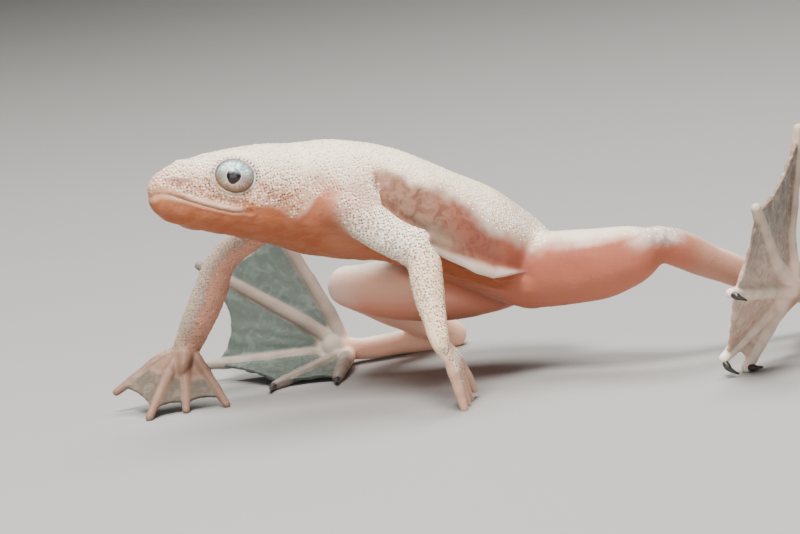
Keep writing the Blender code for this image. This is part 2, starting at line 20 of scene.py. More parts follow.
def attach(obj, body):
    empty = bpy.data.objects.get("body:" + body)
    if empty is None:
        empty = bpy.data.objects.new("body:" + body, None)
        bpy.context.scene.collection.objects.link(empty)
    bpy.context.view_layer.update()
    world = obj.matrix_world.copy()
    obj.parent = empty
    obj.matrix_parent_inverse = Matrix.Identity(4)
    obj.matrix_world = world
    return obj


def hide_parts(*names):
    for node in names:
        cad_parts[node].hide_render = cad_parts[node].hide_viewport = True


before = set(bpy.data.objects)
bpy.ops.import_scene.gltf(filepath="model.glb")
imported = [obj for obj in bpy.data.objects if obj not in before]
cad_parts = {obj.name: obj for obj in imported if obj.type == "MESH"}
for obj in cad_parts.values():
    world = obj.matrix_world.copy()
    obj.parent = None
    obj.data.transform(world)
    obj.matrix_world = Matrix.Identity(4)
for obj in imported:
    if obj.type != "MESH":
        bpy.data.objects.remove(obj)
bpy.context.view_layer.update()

MM = 0.001
SKIN_CELL = 0.105  # cell of the finished skin, mm
SKIN_WEB = 0.3  # thickness of the webs in the skin, mm

# ---------------------------------------------------------------- sizes (mm)
SNOUT_TO_VENT = 34.0
BODY_PITCH = math.radians(18.8)  # nose-up angle of the body's axis
SNOUT_TIP = (-19.24, 0.0, 18.6)  # world position of the snout's tip
CENTRE = (4.917, -3.379)  # middle of the standing animal, moved to the origin

EYE_RADIUS = 1.5
EYE_TALL = 1.36  # the eyeball's half height
EYE_LOWER = 0.24  # the far eye sits this much lower, the head being held a little rolled
EYE_CENTRE = (5.5, 2.92, 1.86)  # along, aside, above, in the body's frame
SOCKET_GAP = 0.22
WEB = 0.52  # thickness of the webs
DIGIT_TIP = 0.29  # radius of a finger's tip
TOE_RADIUS = (0.62, 0.4)  # of a toe, at its root and at its tip
PALM_REACH = {"left": 1.3, "right": 2.0}  # from the wrist to the middle of the palm
FOOT_RADIUS = {"left": 0.88, "right": 1.12}  # where the toes set out
CLAW_LENGTH = (0.85, 1.25, 0.95)  # on toes I, II and III
CLAW_RADIUS = 0.27
PART_GAP = 0.26  # width of the thin cuts between the named parts
FINE = 0.2  # cell of the fused surface
THIGH_SAG = {"left": (0.0, 0.4, 0.68, 0.42), "right": (0.7, 1.0, 0.8, 0.45)}  # below the line from hip to knee
SHIN_SIZE = {"left": (1.22, 1.46, 1.3, 1.18, 1.05, 1.05), "right": (1.68, 1.6, 1.6, 1.4, 1.25, 1.22)}
SINK = 0.12  # how far the soles are pressed flat
TRIANGLES = {  # of each named part, left and right alike
    "head": 1450,
    "trunk": 1540,
    "upper_arm": 230,
    "forearm": 240,
    "hand": 560,
    "thigh": 320,
    "shin": 320,
    "tarsus": 200,
    "foot": 900,
}

# Trunk and head, in the body's frame: distance from the snout's tip, back
# line, belly line, half width, height of the widest line, roundness.
BODY_STATIONS = (
    (0.08, 0.14, -0.55, 0.36, -0.10, 2.0),
    (0.45, 0.88, -1.30, 0.98, -0.05, 2.1),
    (1.20, 1.65, -1.98, 1.62, -0.05, 2.1),
    (2.40, 2.42, -2.36, 2.35, 0.00, 2.2),
    (4.00, 3.12, -2.52, 3.20, 0.05, 2.3),
    (6.00, 3.92, -2.44, 4.05, 0.10, 2.3),
    (8.20, 4.66, -2.46, 4.70, 0.20, 2.3),
    (10.80, 5.26, -2.58, 5.00, 0.40, 2.2),
    (13.60, 6.02, -2.80, 5.35, 0.70, 2.2),
    (16.60, 6.31, -2.62, 5.85, 0.85, 2.2),
    (19.60, 6.18, -2.30, 6.45, 0.80, 2.25),
    (23.00, 5.50, -2.60, 6.85, 0.50, 2.3),
    (26.50, 4.90, -3.10, 6.45, 0.20, 2.3),
    (29.50, 3.84, -3.65, 5.20, 0.00, 2.2),
    (32.00, 2.68, -3.90, 3.90, -0.30, 2.1),
    (33.60, 1.45, -3.40, 2.60, -0.60, 2.0),
    (34.50, 0.30, -2.30, 1.20, -0.90, 2.0),
)

# Joints of the limbs, world positions. L is the near side (-Y), R the far one.
SHOULDER = {"left": (-5.8, -5.0, 15.3), "right": (-6.0, 5.0, 15.2)}
ELBOW = {"left": (-1.7, -8.92, 11.4), "right": (-11.35, 8.0, 11.1)}
WRIST = {"left": (-2.5, -12.93, 5.45), "right": (-14.55, 10.0, 4.42)}
HIP = {"left": (9.2, -2.8, 7.9), "right": (9.2, 2.8, 7.9)}
KNEE = {"left": (16.3, -11.5, 9.88), "right": (-0.85, 9.5, 7.1)}
ANKLE = {"left": (29.5, -9.4, 3.68), "right": (9.25, 14.0, 1.0)}
HUB = {"left": (24.7, -17.0, 5.45), "right": (-0.1, 14.0, 1.25)}

# Tips of the fingers (four a hand) and of the toes (five a foot, I to V).
FINGER_TIPS = {
    "left": ((-1.15, -12.8, 0.3), (-0.25, -11.3, 0.3), (0.6, -9.8, 0.3), (1.4, -8.9, 0.8)),
    "right": ((-20.4, 10.7, 1.8), (-19.6, 5.6, 0.32), (-16.5, 5.9, 0.32), (-13.4, 5.3, 0.32)),
}
TOE_TIPS = {
    "left": (
        (19.55, -17.95, 0.43),
        (17.5, -18.6, 1.55),
        (15.9, -24.2, 7.3),
        (18.0, -25.35, 13.3),
        (25.3, -18.9, 17.6),
    ),
    "right": (
        (-3.5, 7.2, 0.43),
        (-8.0, 9.0, 0.43),
        (-10.6, 16.4, 1.6),
        (-9.9, 18.6, 9.3),
        (-4.0, 17.3, 12.6),
    ),
}
BODY_WAY = (math.cos(BODY_PITCH), 0.0, -math.sin(BODY_PITCH))  # the body's axis, backwards
# The way each sole's or palm's digits arch out of their straight line.
FINGER_ARCH = {"left": (0.5, -0.3, 0.25), "right": (-0.1, 0.35, 0.5)}
TOE_ARCH = {"left": (-0.7, 0.25, 0.1), "right": (0.0, -0.5, 0.25)}
# How far each web's free edge is drawn in between its two digits.
HAND_WEB_DIP = {"left": 0.34, "right": 0.06}
FOOT_WEB_DIP = {"left": (0.1, 0.03, 0.06, 0.1), "right": (0.1, 0.06, 0.14, 0.1)}
CLAW_TURN = {"left": (1.0, -0.35, -0.5), "right": (-0.1, -0.3, -0.9)}



def body_point(along, aside, above):
    """World position (mm) of a point given in the body's frame."""
    c, s = math.cos(BODY_PITCH), math.sin(BODY_PITCH)
    return (
        SNOUT_TIP[0] + along * c + above * s,
        SNOUT_TIP[1] + aside,
        SNOUT_TIP[2] - along * s + above * c,
    )


def eye_point(sign):
    """Middle of an eyeball: -1 for the left one, 1 for the right one."""
    along, aside, above = EYE_CENTRE
    return body_point(along, sign * aside, above - (EYE_LOWER if sign > 0 else 0.0))


def through(rows, per_span=6):
    """A smooth curve through the rows, column by column (Catmull-Rom)."""
    rows = np.array(rows, float)
    ends = np.vstack([2 * rows[0] - rows[1], rows, 2 * rows[-1] - rows[-2]])
    out = []
    for i in range(1, len(ends) - 2):
        a, b, c, d = ends[i - 1 : i + 3]
        for k in range(per_span):
            t = k / per_span
            out.append(
                0.5
                * (
                    2 * b
                    + (c - a) * t
                    + (2 * a - 5 * b + 4 * c - d) * t**2
                    + (3 * b - a - 3 * c + d) * t**3
                )
            )
    out.append(rows[-1])
    return np.array(out)


def unit(v):
    v = np.asarray(v, float)
    return v / max(np.linalg.norm(v), 1e-12)


def towards(a, b, share):
    return np.asarray(a, float) * (1 - share) + np.asarray(b, float) * share


def loft(bm, rings):
    """A closed skin over rings of equal count, with a fan at each end."""
    loops = [[bm.verts.new(p) for p in ring] for ring in rings]
    n = len(loops[0])
    for a, b in zip(loops, loops[1:]):
        for i in range(n):
            bm.faces.new((a[i], a[(i + 1) % n], b[(i + 1) % n], b[i]))
    for loop, flip in ((loops[0], True), (loops[-1], False)):
        middle = bm.verts.new(sum((v.co for v in loop), Vector()) / n)
        for i in range(n):
            pair = (loop[(i + 1) % n], loop[i]) if flip else (loop[i], loop[(i + 1) % n])
            bm.faces.new((*pair, middle))


def tube(bm, rows, flat_way=(0.0, 0.0, 1.0), sides=16, per_span=6):
    """A limb along rows of (x, y, z, radius, share across flat_way)."""
    rows = [tuple(r) + (1.0,) * (5 - len(r)) for r in rows]
    path = through(rows, per_span)
    centre, radius, share = path[:, :3], path[:, 3], path[:, 4]
    tangent = np.gradient(centre, axis=0)
    rings = []

    def ring(c, t, r, k):
        t = unit(t)
        flat = np.asarray(flat_way, float)
        flat = unit(flat - t * np.dot(flat, t))
        wide = np.cross(t, flat)
        return [
            Vector(c + r * (math.cos(a) * wide + k * math.sin(a) * flat))
            for a in (2 * math.pi * i / sides for i in range(sides))
        ]

    for angle in (75, 45, 20):
        a = math.radians(angle)
        rings.append(
            ring(centre[0] - unit(tangent[0]) * radius[0] * math.sin(a), tangent[0], radius[0] * math.cos(a), share[0])
        )
    for c, t, r, k in zip(centre, tangent, radius, share):
        rings.append(ring(c, t, r, k))
    for angle in (20, 45, 75):
        a = math.radians(angle)
        rings.append(
            ring(centre[-1] + unit(tangent[-1]) * radius[-1] * math.sin(a), tangent[-1], radius[-1] * math.cos(a), share[-1])
        )
    loft(bm, rings)


def blob(bm, centre, radii, turn=None):
    """An ellipsoid of muscle; turn's first column is its long axis."""
    matrix = Matrix.Translation(centre)
    if turn is not None:
        matrix = matrix @ Vector((1, 0, 0)).rotation_difference(Vector(turn)).to_matrix().to_4x4()
    matrix = matrix @ Matrix.Diagonal((*radii, 1.0))
    bmesh.ops.create_uvsphere(bm, u_segments=24, v_segments=14, radius=1.0, matrix=matrix)


def digit_path(root, tip, arch, bend=0.45):
    """Centre line of a finger or toe, arched out of its straight line."""
    root, tip = np.asarray(root, float), np.asarray(tip, float)
    size = np.linalg.norm(tip - root)
    rows = []
    for share in (0.0, 0.25, 0.5, 0.75, 1.0):
        lift = math.sin(math.pi * share**bend) * 0.07 * size
        rows.append(towards(root, tip, share) + np.asarray(arch, float) * lift)
    return through(rows, 8)


def web(bm, path_a, path_b, reach, dip, thickness):
    """A thin sheet between two digits, its free edge drawn in by dip."""
    across, out = 10, 16

    def at(path, share):
        share = min(max(share, 0.0), 1.0) * (len(path) - 1)
        i = min(int(share), len(path) - 2)
        return towards(path[i], path[i + 1], share - i)

    grid = []
    for j in range(across + 1):
        s = j / across
        edge = towards([reach[0]], [reach[1]], s)[0] * (1 - dip * 4 * s * (1 - s))
        grid.append([towards(at(path_a, edge * i / out), at(path_b, edge * i / out), s) for i in range(out + 1)])
    grid = np.array(grid)
    du = np.gradient(grid, axis=0)
    dv = np.gradient(grid, axis=1)
    normal = np.cross(du, dv)
    size = np.linalg.norm(normal, axis=2, keepdims=True)
    mean = unit(normal.reshape(-1, 3).sum(0))
    normal = np.where(size > 1e-6, normal / np.maximum(size, 1e-12), mean)
    top, bottom = grid + normal * thickness / 2, grid - normal * thickness / 2
    rings = []
    for j in range(across + 1):
        ring = [Vector(p) for p in top[j]] + [Vector(p) for p in bottom[j][::-1]]
        rings.append(ring)
    loft(bm, rings)


def trunk(bm):
    """Head and trunk: one loft of rounded sections along the body's axis."""
    rows = through(BODY_STATIONS, 5)
    count = 56
    rings = []
    for along, top, bottom, half, widest, power in rows:
        ring = []
        for i in range(count):
            a = 2 * math.pi * i / count
            c, s = math.cos(a), math.sin(a)
            aside = half * math.copysign(abs(c) ** (2 / power), c)
            reach = (top - widest) if s >= 0 else (widest - bottom)
            above = widest + reach * math.copysign(abs(s) ** (2 / power), s)
            ring.append(Vector(body_point(along, aside, above)))
        rings.append(ring)
    loft(bm, rings)


def head_forms(bm):
    """Orbits, cheeks and the muscles of the jaw."""
    for side in (-1, 1):
        along, aside, above = EYE_CENTRE
        lower = EYE_LOWER + 0.16 if side > 0 else 0.0
        blob(bm, body_point(along, side * (aside - 0.9), above - 0.3 - lower), (2.3, 1.8, 1.6))
        blob(bm, body_point(2.5, side * 1.0, 1.83), (0.5, 0.5, 0.66))
        blob(bm, body_point(9.2, side * 3.0, 0.8), (2.6, 1.7, 2.0))


def arm(bm, side):
    """One arm, from inside the chest to the palm."""
    s, e, w = (np.array(j[side]) for j in (SHOULDER, ELBOW, WRIST))
    sign = -1 if side == "left" else 1
    root = s + np.array((-1.5, -1.9 * sign, 0.5))
    palm = w + unit(np.mean(FINGER_TIPS[side], axis=0) - w) * PALM_REACH[side]
    if side == "left":
        size = (2.2, 1.75, 1.48, 1.3, 1.22, 0.98, 0.7, 0.84)
    else:
        size = (2.0, 1.5, 1.22, 1.16, 1.3, 1.28, 1.1, 1.35)
    tube(
        bm,
        [
            (*root, size[0]),
            (*s, size[1]),
            (*towards(s, e, 0.55), size[2]),
            (*e, size[3]),
            (*towards(e, w, 0.35), size[4]),
            (*towards(e, w, 0.68), size[5]),
            (*w, size[6]),
            (*palm, size[7], 0.5),
        ],
        flat_way=FINGER_ARCH[side],
    )
    # Skin fold from the chest to the back of the upper arm.
    blob(bm, s + np.array((1.2, 0.9 * -sign, -1.3)), (2.4, 1.6, 1.7), tuple(e - s))
    blob(bm, s + np.array((-0.3, -0.7 * sign, 0.3)), (2.6, 1.7, 2.1), tuple(e - s))


def finger_paths(side):
    w = np.array(WRIST[side])
    tips = np.array(FINGER_TIPS[side])
    middle = tips.mean(0)
    return [
        digit_path(w + (tip - middle) * 0.12 + unit(middle - w) * 0.5, tip, FINGER_ARCH[side])
        for tip in tips
    ]


def toe_paths(side):
    hub = np.array(HUB[side])
    tips = np.array(TOE_TIPS[side])
    middle = tips.mean(0)
    return [
        digit_path(hub + unit(tip - middle) * 0.42, tip, TOE_ARCH[side]) for tip in tips
    ]


def leg(bm, side):
    """One hind leg: thigh, shin and tarsus, down to the hub of the toes."""
    h, k, a, f = (np.array(j[side]) for j in (HIP, KNEE, ANKLE, HUB))
    sign = -1 if side == "left" else 1
    root = h + np.array((-0.8, -1.2 * sign, 0.0))
    foot = f + unit(np.mean(TOE_TIPS[side], axis=0) - f) * 1.0
    # The thigh's muscle hangs a little below the line from hip to knee.
    sag = [np.array((0.0, 0.0, -drop)) for drop in THIGH_SAG[side]]
    tube(
        bm,
        [
            (*root, 2.5),
            (*(h + sag[0]), 2.85),
            (*(towards(h, k, 0.3) + sag[1]), 2.88),
            (*(towards(h, k, 0.62) + sag[2]), 2.62),
            (*(towards(h, k, 0.86) + sag[3]), 2.08),
            (*k, SHIN_SIZE[side][0]),
        ],
        sides=20,
    )
    size = SHIN_SIZE[side]
    low = np.array((0.0, 0.0, -0.2 if side == "left" else 0.0))
    tube(
        bm,
        [
            (*k, size[0]),
            (*towards(k, a, 0.15), size[1]),
            (*(towards(k, a, 0.37) + low), size[2]),
            (*(towards(k, a, 0.66) + low), size[3]),
            (*towards(k, a, 0.9), size[4]),
            (*a, size[5]),
        ],
        sides=20,
    )
    tube(
        bm,
        [
            (*a, size[5] - 0.02),
            (*towards(a, f, 0.15), size[5] - 0.06),
            (*towards(a, f, 0.5), 1.0),
            (*towards(a, f, 0.85), 0.92),
            (*foot, FOOT_RADIUS[side], 0.7),
        ],
        flat_way=TOE_ARCH[side],
        sides=20,
    )


def flank_folds(bm):
    """The fold of loose skin that runs from the armpit to the groin."""
    for sign in (-1, 1):
        rows = [
            (*body_point(17.5, sign * 5.3, 0.6), 0.5),
            (*body_point(20.0, sign * 6.15, 0.2), 0.62),
            (*body_point(22.6, sign * 6.45, -0.55), 0.7),
            (*body_point(25.2, sign * 6.2, -1.45), 0.72),
            (*body_point(27.3, sign * 5.5, -1.6), 0.66),
            (*body_point(29.0, sign * 4.6, -1.2), 0.5),
        ]
        tube(bm, rows, sides=12)


def mesh_object(name, bm, collection):
    bmesh.ops.recalc_face_normals(bm, faces=bm.faces)
    mesh = bpy.data.meshes.new(name)
    bm.to_mesh(mesh)
    bm.free()
    item = bpy.data.objects.new(name, mesh)
    collection.objects.link(item)
    return item


def evaluated(item):
    """The item's mesh with its modifiers applied."""
    bpy.context.view_layer.update()
    graph = bpy.context.evaluated_depsgraph_get()
    mesh = bpy.data.meshes.new_from_object(item.evaluated_get(graph))
    old = item.data
    item.modifiers.clear()
    item.data = mesh
    bpy.data.meshes.remove(old)
    return item


def fuse(item, cell):
    remesh = item.modifiers.new("Fuse", "REMESH")
    remesh.mode = "VOXEL"
    remesh.voxel_size = cell
    remesh.adaptivity = 0.0
    return evaluated(item)


def arrays(mesh):
    points = np.empty(len(mesh.vertices) * 3)
    mesh.vertices.foreach_get("co", points)
    edges = np.empty(len(mesh.edges) * 2, dtype=np.int64)
    mesh.edges.foreach_get("vertices", edges)
    return points.reshape(-1, 3), edges.reshape(-1, 2)


def relax(mesh, weight, rounds):
    """Laplacian smoothing with a weight for each vertex."""
    points, edges = arrays(mesh)
    n = len(points)
    ends = np.concatenate([edges[:, 0], edges[:, 1]])
    other = np.concatenate([edges[:, 1], edges[:, 0]])
    count = np.maximum(np.bincount(ends, minlength=n), 1)
    w = weight(points)[:, None]
    for _ in range(rounds):
        mean = np.stack(
            [np.bincount(ends, points[other, k], minlength=n) / count for k in range(3)], axis=1
        )
        points = points + w * (mean - points)
    mesh.vertices.foreach_set("co", points.ravel())
    mesh.update()


def near(points, centre, radius):
    """1 at the centre, falling smoothly to 0 at the radius."""
    d = np.linalg.norm(points - np.asarray(centre, float), axis=1) / radius
    return np.clip(1 - d, 0, 1) ** 2 * (1 + 2 * np.clip(d, 0, 1))


def growth_weight(points):
    """Where limbs grow out of the body and at their bends."""
    w = np.full(len(points), 0.06)
    for side, sign in (("left", -1), ("right", 1)):
        s, e = np.array(SHOULDER[side]), np.array(ELBOW[side])
        for centre, radius, size in (
            (s, 4.6, 0.75),
            (towards(s, e, 0.4), 3.0, 0.4),
            (HIP[side], 6.2, 0.75),
            (towards(HIP[side], KNEE[side], 0.3), 4.5, 0.6),
            (eye_point(sign), 4.5, 0.5),
            (body_point(9.2, sign * 3.8, 0.9), 4.5, 0.6),
        ):
            w = np.maximum(w, size * near(points, centre, radius))
    for along, above in ((17.5, 0.6), (20.0, 0.2), (22.6, -0.55), (25.2, -1.45), (27.3, -1.6), (29, -1.2)):
        for sign in (-1, 1):
            w = np.maximum(w, 0.22 * near(points, body_point(along, sign * 6.2, above), 2.2))
    return w


def claw_rows(side, number):
    """Centre line and radii of the curved claw on toe 0, 1 or 2."""
    path = toe_paths(side)[number]
    way = unit(path[-1] - path[-6])
    turn = np.array(CLAW_TURN[side], float)
    if path[-1][2] < 0.6:  # a toe that rests on the floor: its claw lies along it
        turn[2] = way[2] = 0.0
    turn = unit(turn)
    base = path[-1] + unit(way + 1.1 * turn) * (TOE_RADIUS[1] + CLAW_RADIUS + 0.03)
    rows = []
    for share in (0.0, 0.35, 0.7, 1.0):
        p = base + CLAW_LENGTH[number] * (way * (0.42 * share - 0.2 * share**2) + turn * (0.55 * share + 0.28 * share**2))
        rows.append((*p, CLAW_RADIUS * (1 - 0.72 * share)))
    clear = SINK + 0.05
    rows = [(x, y, max(z, clear + r), r) for x, y, z, r in rows]
    return rows


# ---------------------------------------------------------- details' helpers
def smooth(low, high, x):
    """0 below low, 1 above high, eased between."""
    t = np.clip((np.asarray(x, float) - low) / (high - low), 0.0, 1.0)
    return t * t * (3 - 2 * t)


def bell(x, width):
    return np.exp(-((np.asarray(x, float) / width) ** 2))


def scatter(cell, seed):
    """Four numbers from 0 to 1 for each whole-number cell, always the same."""
    h = (
        cell[:, 0].astype(np.uint64) * np.uint64(73856093)
        ^ cell[:, 1].astype(np.uint64) * np.uint64(19349663)
        ^ cell[:, 2].astype(np.uint64) * np.uint64(83492791)
        ^ np.uint64(seed * 2654435761 % 2**32)
    )
    out = []
    for k in range(4):
        h = (h ^ (h >> np.uint64(15))) * np.uint64(2246822519 + 2 * k) & np.uint64(0xFFFFFFFF)
        h = (h ^ (h >> np.uint64(13))) * np.uint64(3266489917) & np.uint64(0xFFFFFFFF)
        h = h ^ (h >> np.uint64(16))
        out.append((h & np.uint64(0xFFFFFF)).astype(float) / 0xFFFFFF)
    return np.stack(out, axis=1)


def warts(points, spacing, seed):
    """For each point: how near it is to the closest of many scattered warts
    (1 at its top, 0 between them), and that wart's own number from 0 to 1."""
    q = points / spacing + 1000.0
    base = np.floor(q).astype(np.int64)
    best = np.full(len(q), 9.0)
    own = np.zeros(len(q))
    for i in (-1, 0, 1):
        for j in (-1, 0, 1):
            for k in (-1, 0, 1):
                corner = base + np.array((i, j, k))
                h = scatter(corner, seed)
                d = np.linalg.norm(q - corner - 0.5 - (h[:, :3] - 0.5) * 0.7, axis=1)
                closer = d < best
                best[closer] = d[closer]
                own[closer] = h[closer, 3]
    return np.clip(1 - best / 0.75, 0, 1), own


def clouds(points, size, seed):
    """Smooth noise from -1 to 1."""
    q = points / size + 1000.0
    base = np.floor(q).astype(np.int64)
    t = q - base
    t = t * t * (3 - 2 * t)
    out = np.zeros(len(q))
    for i in (0, 1):
        for j in (0, 1):
            for k in (0, 1):
                share = (
                    (t[:, 0] if i else 1 - t[:, 0]) * (t[:, 1] if j else 1 - t[:, 1]) * (t[:, 2] if k else 1 - t[:, 2])
                )
                out += share * (scatter(base + np.array((i, j, k)), seed)[:, 0] * 2 - 1)
    return out


def to_body(points):
    """The body's frame: along from the snout's tip, aside, above."""
    c, s = math.cos(BODY_PITCH), math.sin(BODY_PITCH)
    d = points - np.array(SNOUT_TIP)
    return np.stack([d[:, 0] * c - d[:, 2] * s, d[:, 1], d[:, 0] * s + d[:, 2] * c], axis=1)


def from_body(way):
    c, s = math.cos(BODY_PITCH), math.sin(BODY_PITCH)
    return np.stack([way[:, 0] * c + way[:, 2] * s, way[:, 1], -way[:, 0] * s + way[:, 2] * c], axis=1)


def to_line(points, line):
    """Distance to a line of points, and the share of the way along it."""
    line = np.asarray(line, float)
    best = np.full(len(points), 1e9)
    share = np.zeros(len(points))
    sizes = np.linalg.norm(np.diff(line, axis=0), axis=1)
    total = sizes.sum()
    done = 0.0
    for a, b, size in zip(line, line[1:], sizes):
        way = (b - a) / max(size, 1e-9)
        t = np.clip((points - a) @ way, 0, size)
        d = np.linalg.norm(points - a - t[:, None] * way, axis=1)
        closer = d < best
        best[closer] = d[closer]
        share[closer] = (done + t[closer]) / total
        done += size
    return best, share


def off_trunk(body):
    """Below 1 inside the trunk's own loft, above 1 outside it."""
    rows = np.array(BODY_STATIONS)
    along = np.clip(body[:, 0], rows[0, 0], rows[-1, 0])
    top, bottom, half, widest, power = (np.interp(along, rows[:, 0], rows[:, k]) for k in range(1, 6))
    reach = np.where(body[:, 2] > widest, top - widest, widest - bottom)
    value = (np.abs(body[:, 1]) / half) ** power + (np.abs(body[:, 2] - widest) / np.maximum(reach, 0.05)) ** power
    value = value ** (1 / power)
    return value + np.clip(body[:, 0] - rows[-1, 0], 0, None) + np.clip(rows[0, 0] - body[:, 0], 0, None)


# ------------------------------------------------------------------ the skin
def digits(bm, thickness):
    """Fingers and toes with knuckles and soft tips, and the webs between them."""
    for side in ("left", "right"):
        paths = finger_paths(side)
        for path in paths:
            steps = np.linspace(0, 1, len(path))
            radius = 0.52 - (0.52 - DIGIT_TIP - 0.02) * steps + 0.05 * bell(steps - 0.42, 0.09) + 0.04 * bell(steps - 0.72, 0.07)
            rows = [(*p, r) for p, r in zip(path[::2], radius[::2])]
            tube(bm, rows, flat_way=FINGER_ARCH[side], sides=16, per_span=2)
        for a, b in zip(paths, paths[1:]):
            web(bm, a, b, (0.88, 0.88), HAND_WEB_DIP[side], thickness)
        paths = toe_paths(side)
        for path in paths:
            steps = np.linspace(0, 1, len(path))
            radius = TOE_RADIUS[0] - (TOE_RADIUS[0] - TOE_RADIUS[1]) * steps**1.2
            for knuckle in (0.25, 0.48, 0.7, 0.87):
                radius = radius + 0.045 * bell(steps - knuckle, 0.05)
            rows = [(*p, r) for p, r in zip(path[::2], radius[::2])]
            tube(bm, rows, flat_way=TOE_ARCH[side], sides=16, per_span=2)
        for a, b, dip in zip(paths, paths[1:], FOOT_WEB_DIP[side]):
            web(bm, a, b, (0.95, 0.95), dip, thickness)


def refine(item, inside, cuts=1):
    """Splits the faces that lie inside, for finer detail there."""
    bm = bmesh.new()
    bm.from_mesh(item.data)
    points = np.array([v.co for v in bm.verts])
    bm.verts.index_update()
    chosen = inside(points)
    edges = [e for e in bm.edges if chosen[e.verts[0].index] and chosen[e.verts[1].index]]
    bmesh.ops.subdivide_edges(bm, edges=edges, cuts=cuts, use_grid_fill=True)
    bmesh.ops.triangulate(bm, faces=[f for f in bm.faces if len(f.verts) > 4])
    bm.to_mesh(item.data)
    bm.free()


def normals_of(mesh):
    out = np.empty(len(mesh.vertices) * 3)
    mesh.vertex_normals.foreach_get("vector", out)
    return out.reshape(-1, 3)


def eye_frame(side):
    """The eye's centre and its own axes: across, up, and out of the opening."""
    sign = -1 if side == "left" else 1
    centre = np.array(eye_point(sign))
    out = unit(from_body(np.array([[EYE_OUT[0], sign * EYE_OUT[1], EYE_OUT[2]]]))[0])
    up = from_body(np.array([[0.0, 0.0, 1.0]]))[0]
    up = unit(up - out * np.dot(up, out))
    return centre, np.cross(up, out), up, out


def eyeball(u, v):
    """How far the eyeball stands out at a place across and up its front."""
    return EYE_RADIUS * np.sqrt(np.maximum(1 - (u / EYE_RADIUS) ** 2 - (v / EYE_TALL) ** 2, 0.0))


EYE_OUT = (-0.26, 0.93, 0.26)
PUPIL = (0.13, -0.18)  # forward and up from the opening's middle
LID = (1.42, 1.24)  # half width and half height of the eye's opening
MOUTH = (  # along, above: the line between the lips, seen from the side
    (0.00, -1.15),
    (0.14, -1.01),
    (0.35, -0.50),
    (0.78, -0.29),
    (1.57, -0.31),
    (2.45, -0.42),
    (3.53, -0.55),
    (4.72, -0.62),
    (5.66, -0.61),
    (6.50, -0.47),
)
FOLD = (
    (17.8, 0.75),
    (19.2, 0.1),
    (20.4, -0.42),
    (21.6, -0.88),
    (22.95, -1.29),
    (24.5, -1.74),
    (26.0, -1.9),
    (27.3, -1.55),
    (28.9, -1.05),
)


def lids(points, side):
    """Lays the skin round the eyeball: under it inside the lids' edge, a
    beaded rim at the edge, a fold round that, and back to the head."""
    centre, across, up, out = eye_frame(side)
    d = points - centre
    u, v, w = d @ across, d @ up, d @ out
    ring = np.sqrt((u / LID[0]) ** 2 + (v / LID[1]) ** 2)
    angle = np.arctan2(v / LID[1], u / LID[0])
    held = smooth(-1.5, -0.7, w) * (1 - smooth(2.0, 2.4, ring))
    shrink = np.minimum(1.0, 1.0 / np.maximum(ring, 1e-6))
    edge = eyeball(u * shrink, v * shrink)
    high = smooth(-0.5, 0.3, v / LID[1])
    bead = (0.5 + 0.5 * np.cos(angle * 38)) * high
    lip = edge + 0.015 + 0.055 * bell(ring - 1.09, 0.07) + 0.03 * bead * bell(ring - 1.12, 0.05)
    blend = smooth(1.1, 1.7, ring)
    target = lip * (1 - blend) + w * blend
    target = target + 0.04 * bell(ring - 1.31, 0.07) - 0.055 * bell(ring - 1.205, 0.045)
    inside = 1 - smooth(0.95, 1.02, ring)
    target = target * (1 - inside) + (eyeball(u, v) * 0.88 - 0.02) * inside
    marks = dict(
        lid=held * bell(ring - 1.13, 0.11),
        rim=held * (1 - smooth(1.0, 1.075, ring)),
        shade=held * bell(ring - 1.16, 0.2) * smooth(0.1, 0.8, -v / LID[1]),
    )
    return points + (held * (target - w))[:, None] * out, marks


def side_of_line(body, line):
    """For lines given as (along, above): how far above the line a point is."""
    line = np.array(line)
    return body[:, 2] - np.interp(body[:, 0], line[:, 0], line[:, 1])


def make_skin(collection):
    bm = bmesh.new()
    trunk(bm)
    head_forms(bm)
    flank_folds(bm)
    for side in ("left", "right"):
        arm(bm, side)
        leg(bm, side)
    core = fuse(mesh_object("core", bm, collection), FINE)
    relax(core.data, growth_weight, 26)
    bm = bmesh.new()
    bm.from_mesh(core.data)
    bpy.data.objects.remove(core)
    digits(bm, SKIN_WEB)
    skin = fuse(mesh_object("skin", bm, collection), SKIN_CELL)
    relax(skin.data, lambda p: np.full(len(p), 0.45), 2)

    def on_face(points):
        body = to_body(points)
        return (body[:, 0] < 8.2) & (np.abs(body[:, 1]) < 5.3) & (body[:, 2] > -2.3)

    refine(skin, on_face)
    relax(skin.data, lambda p: 0.5 * on_face(p), 3)
    return skin


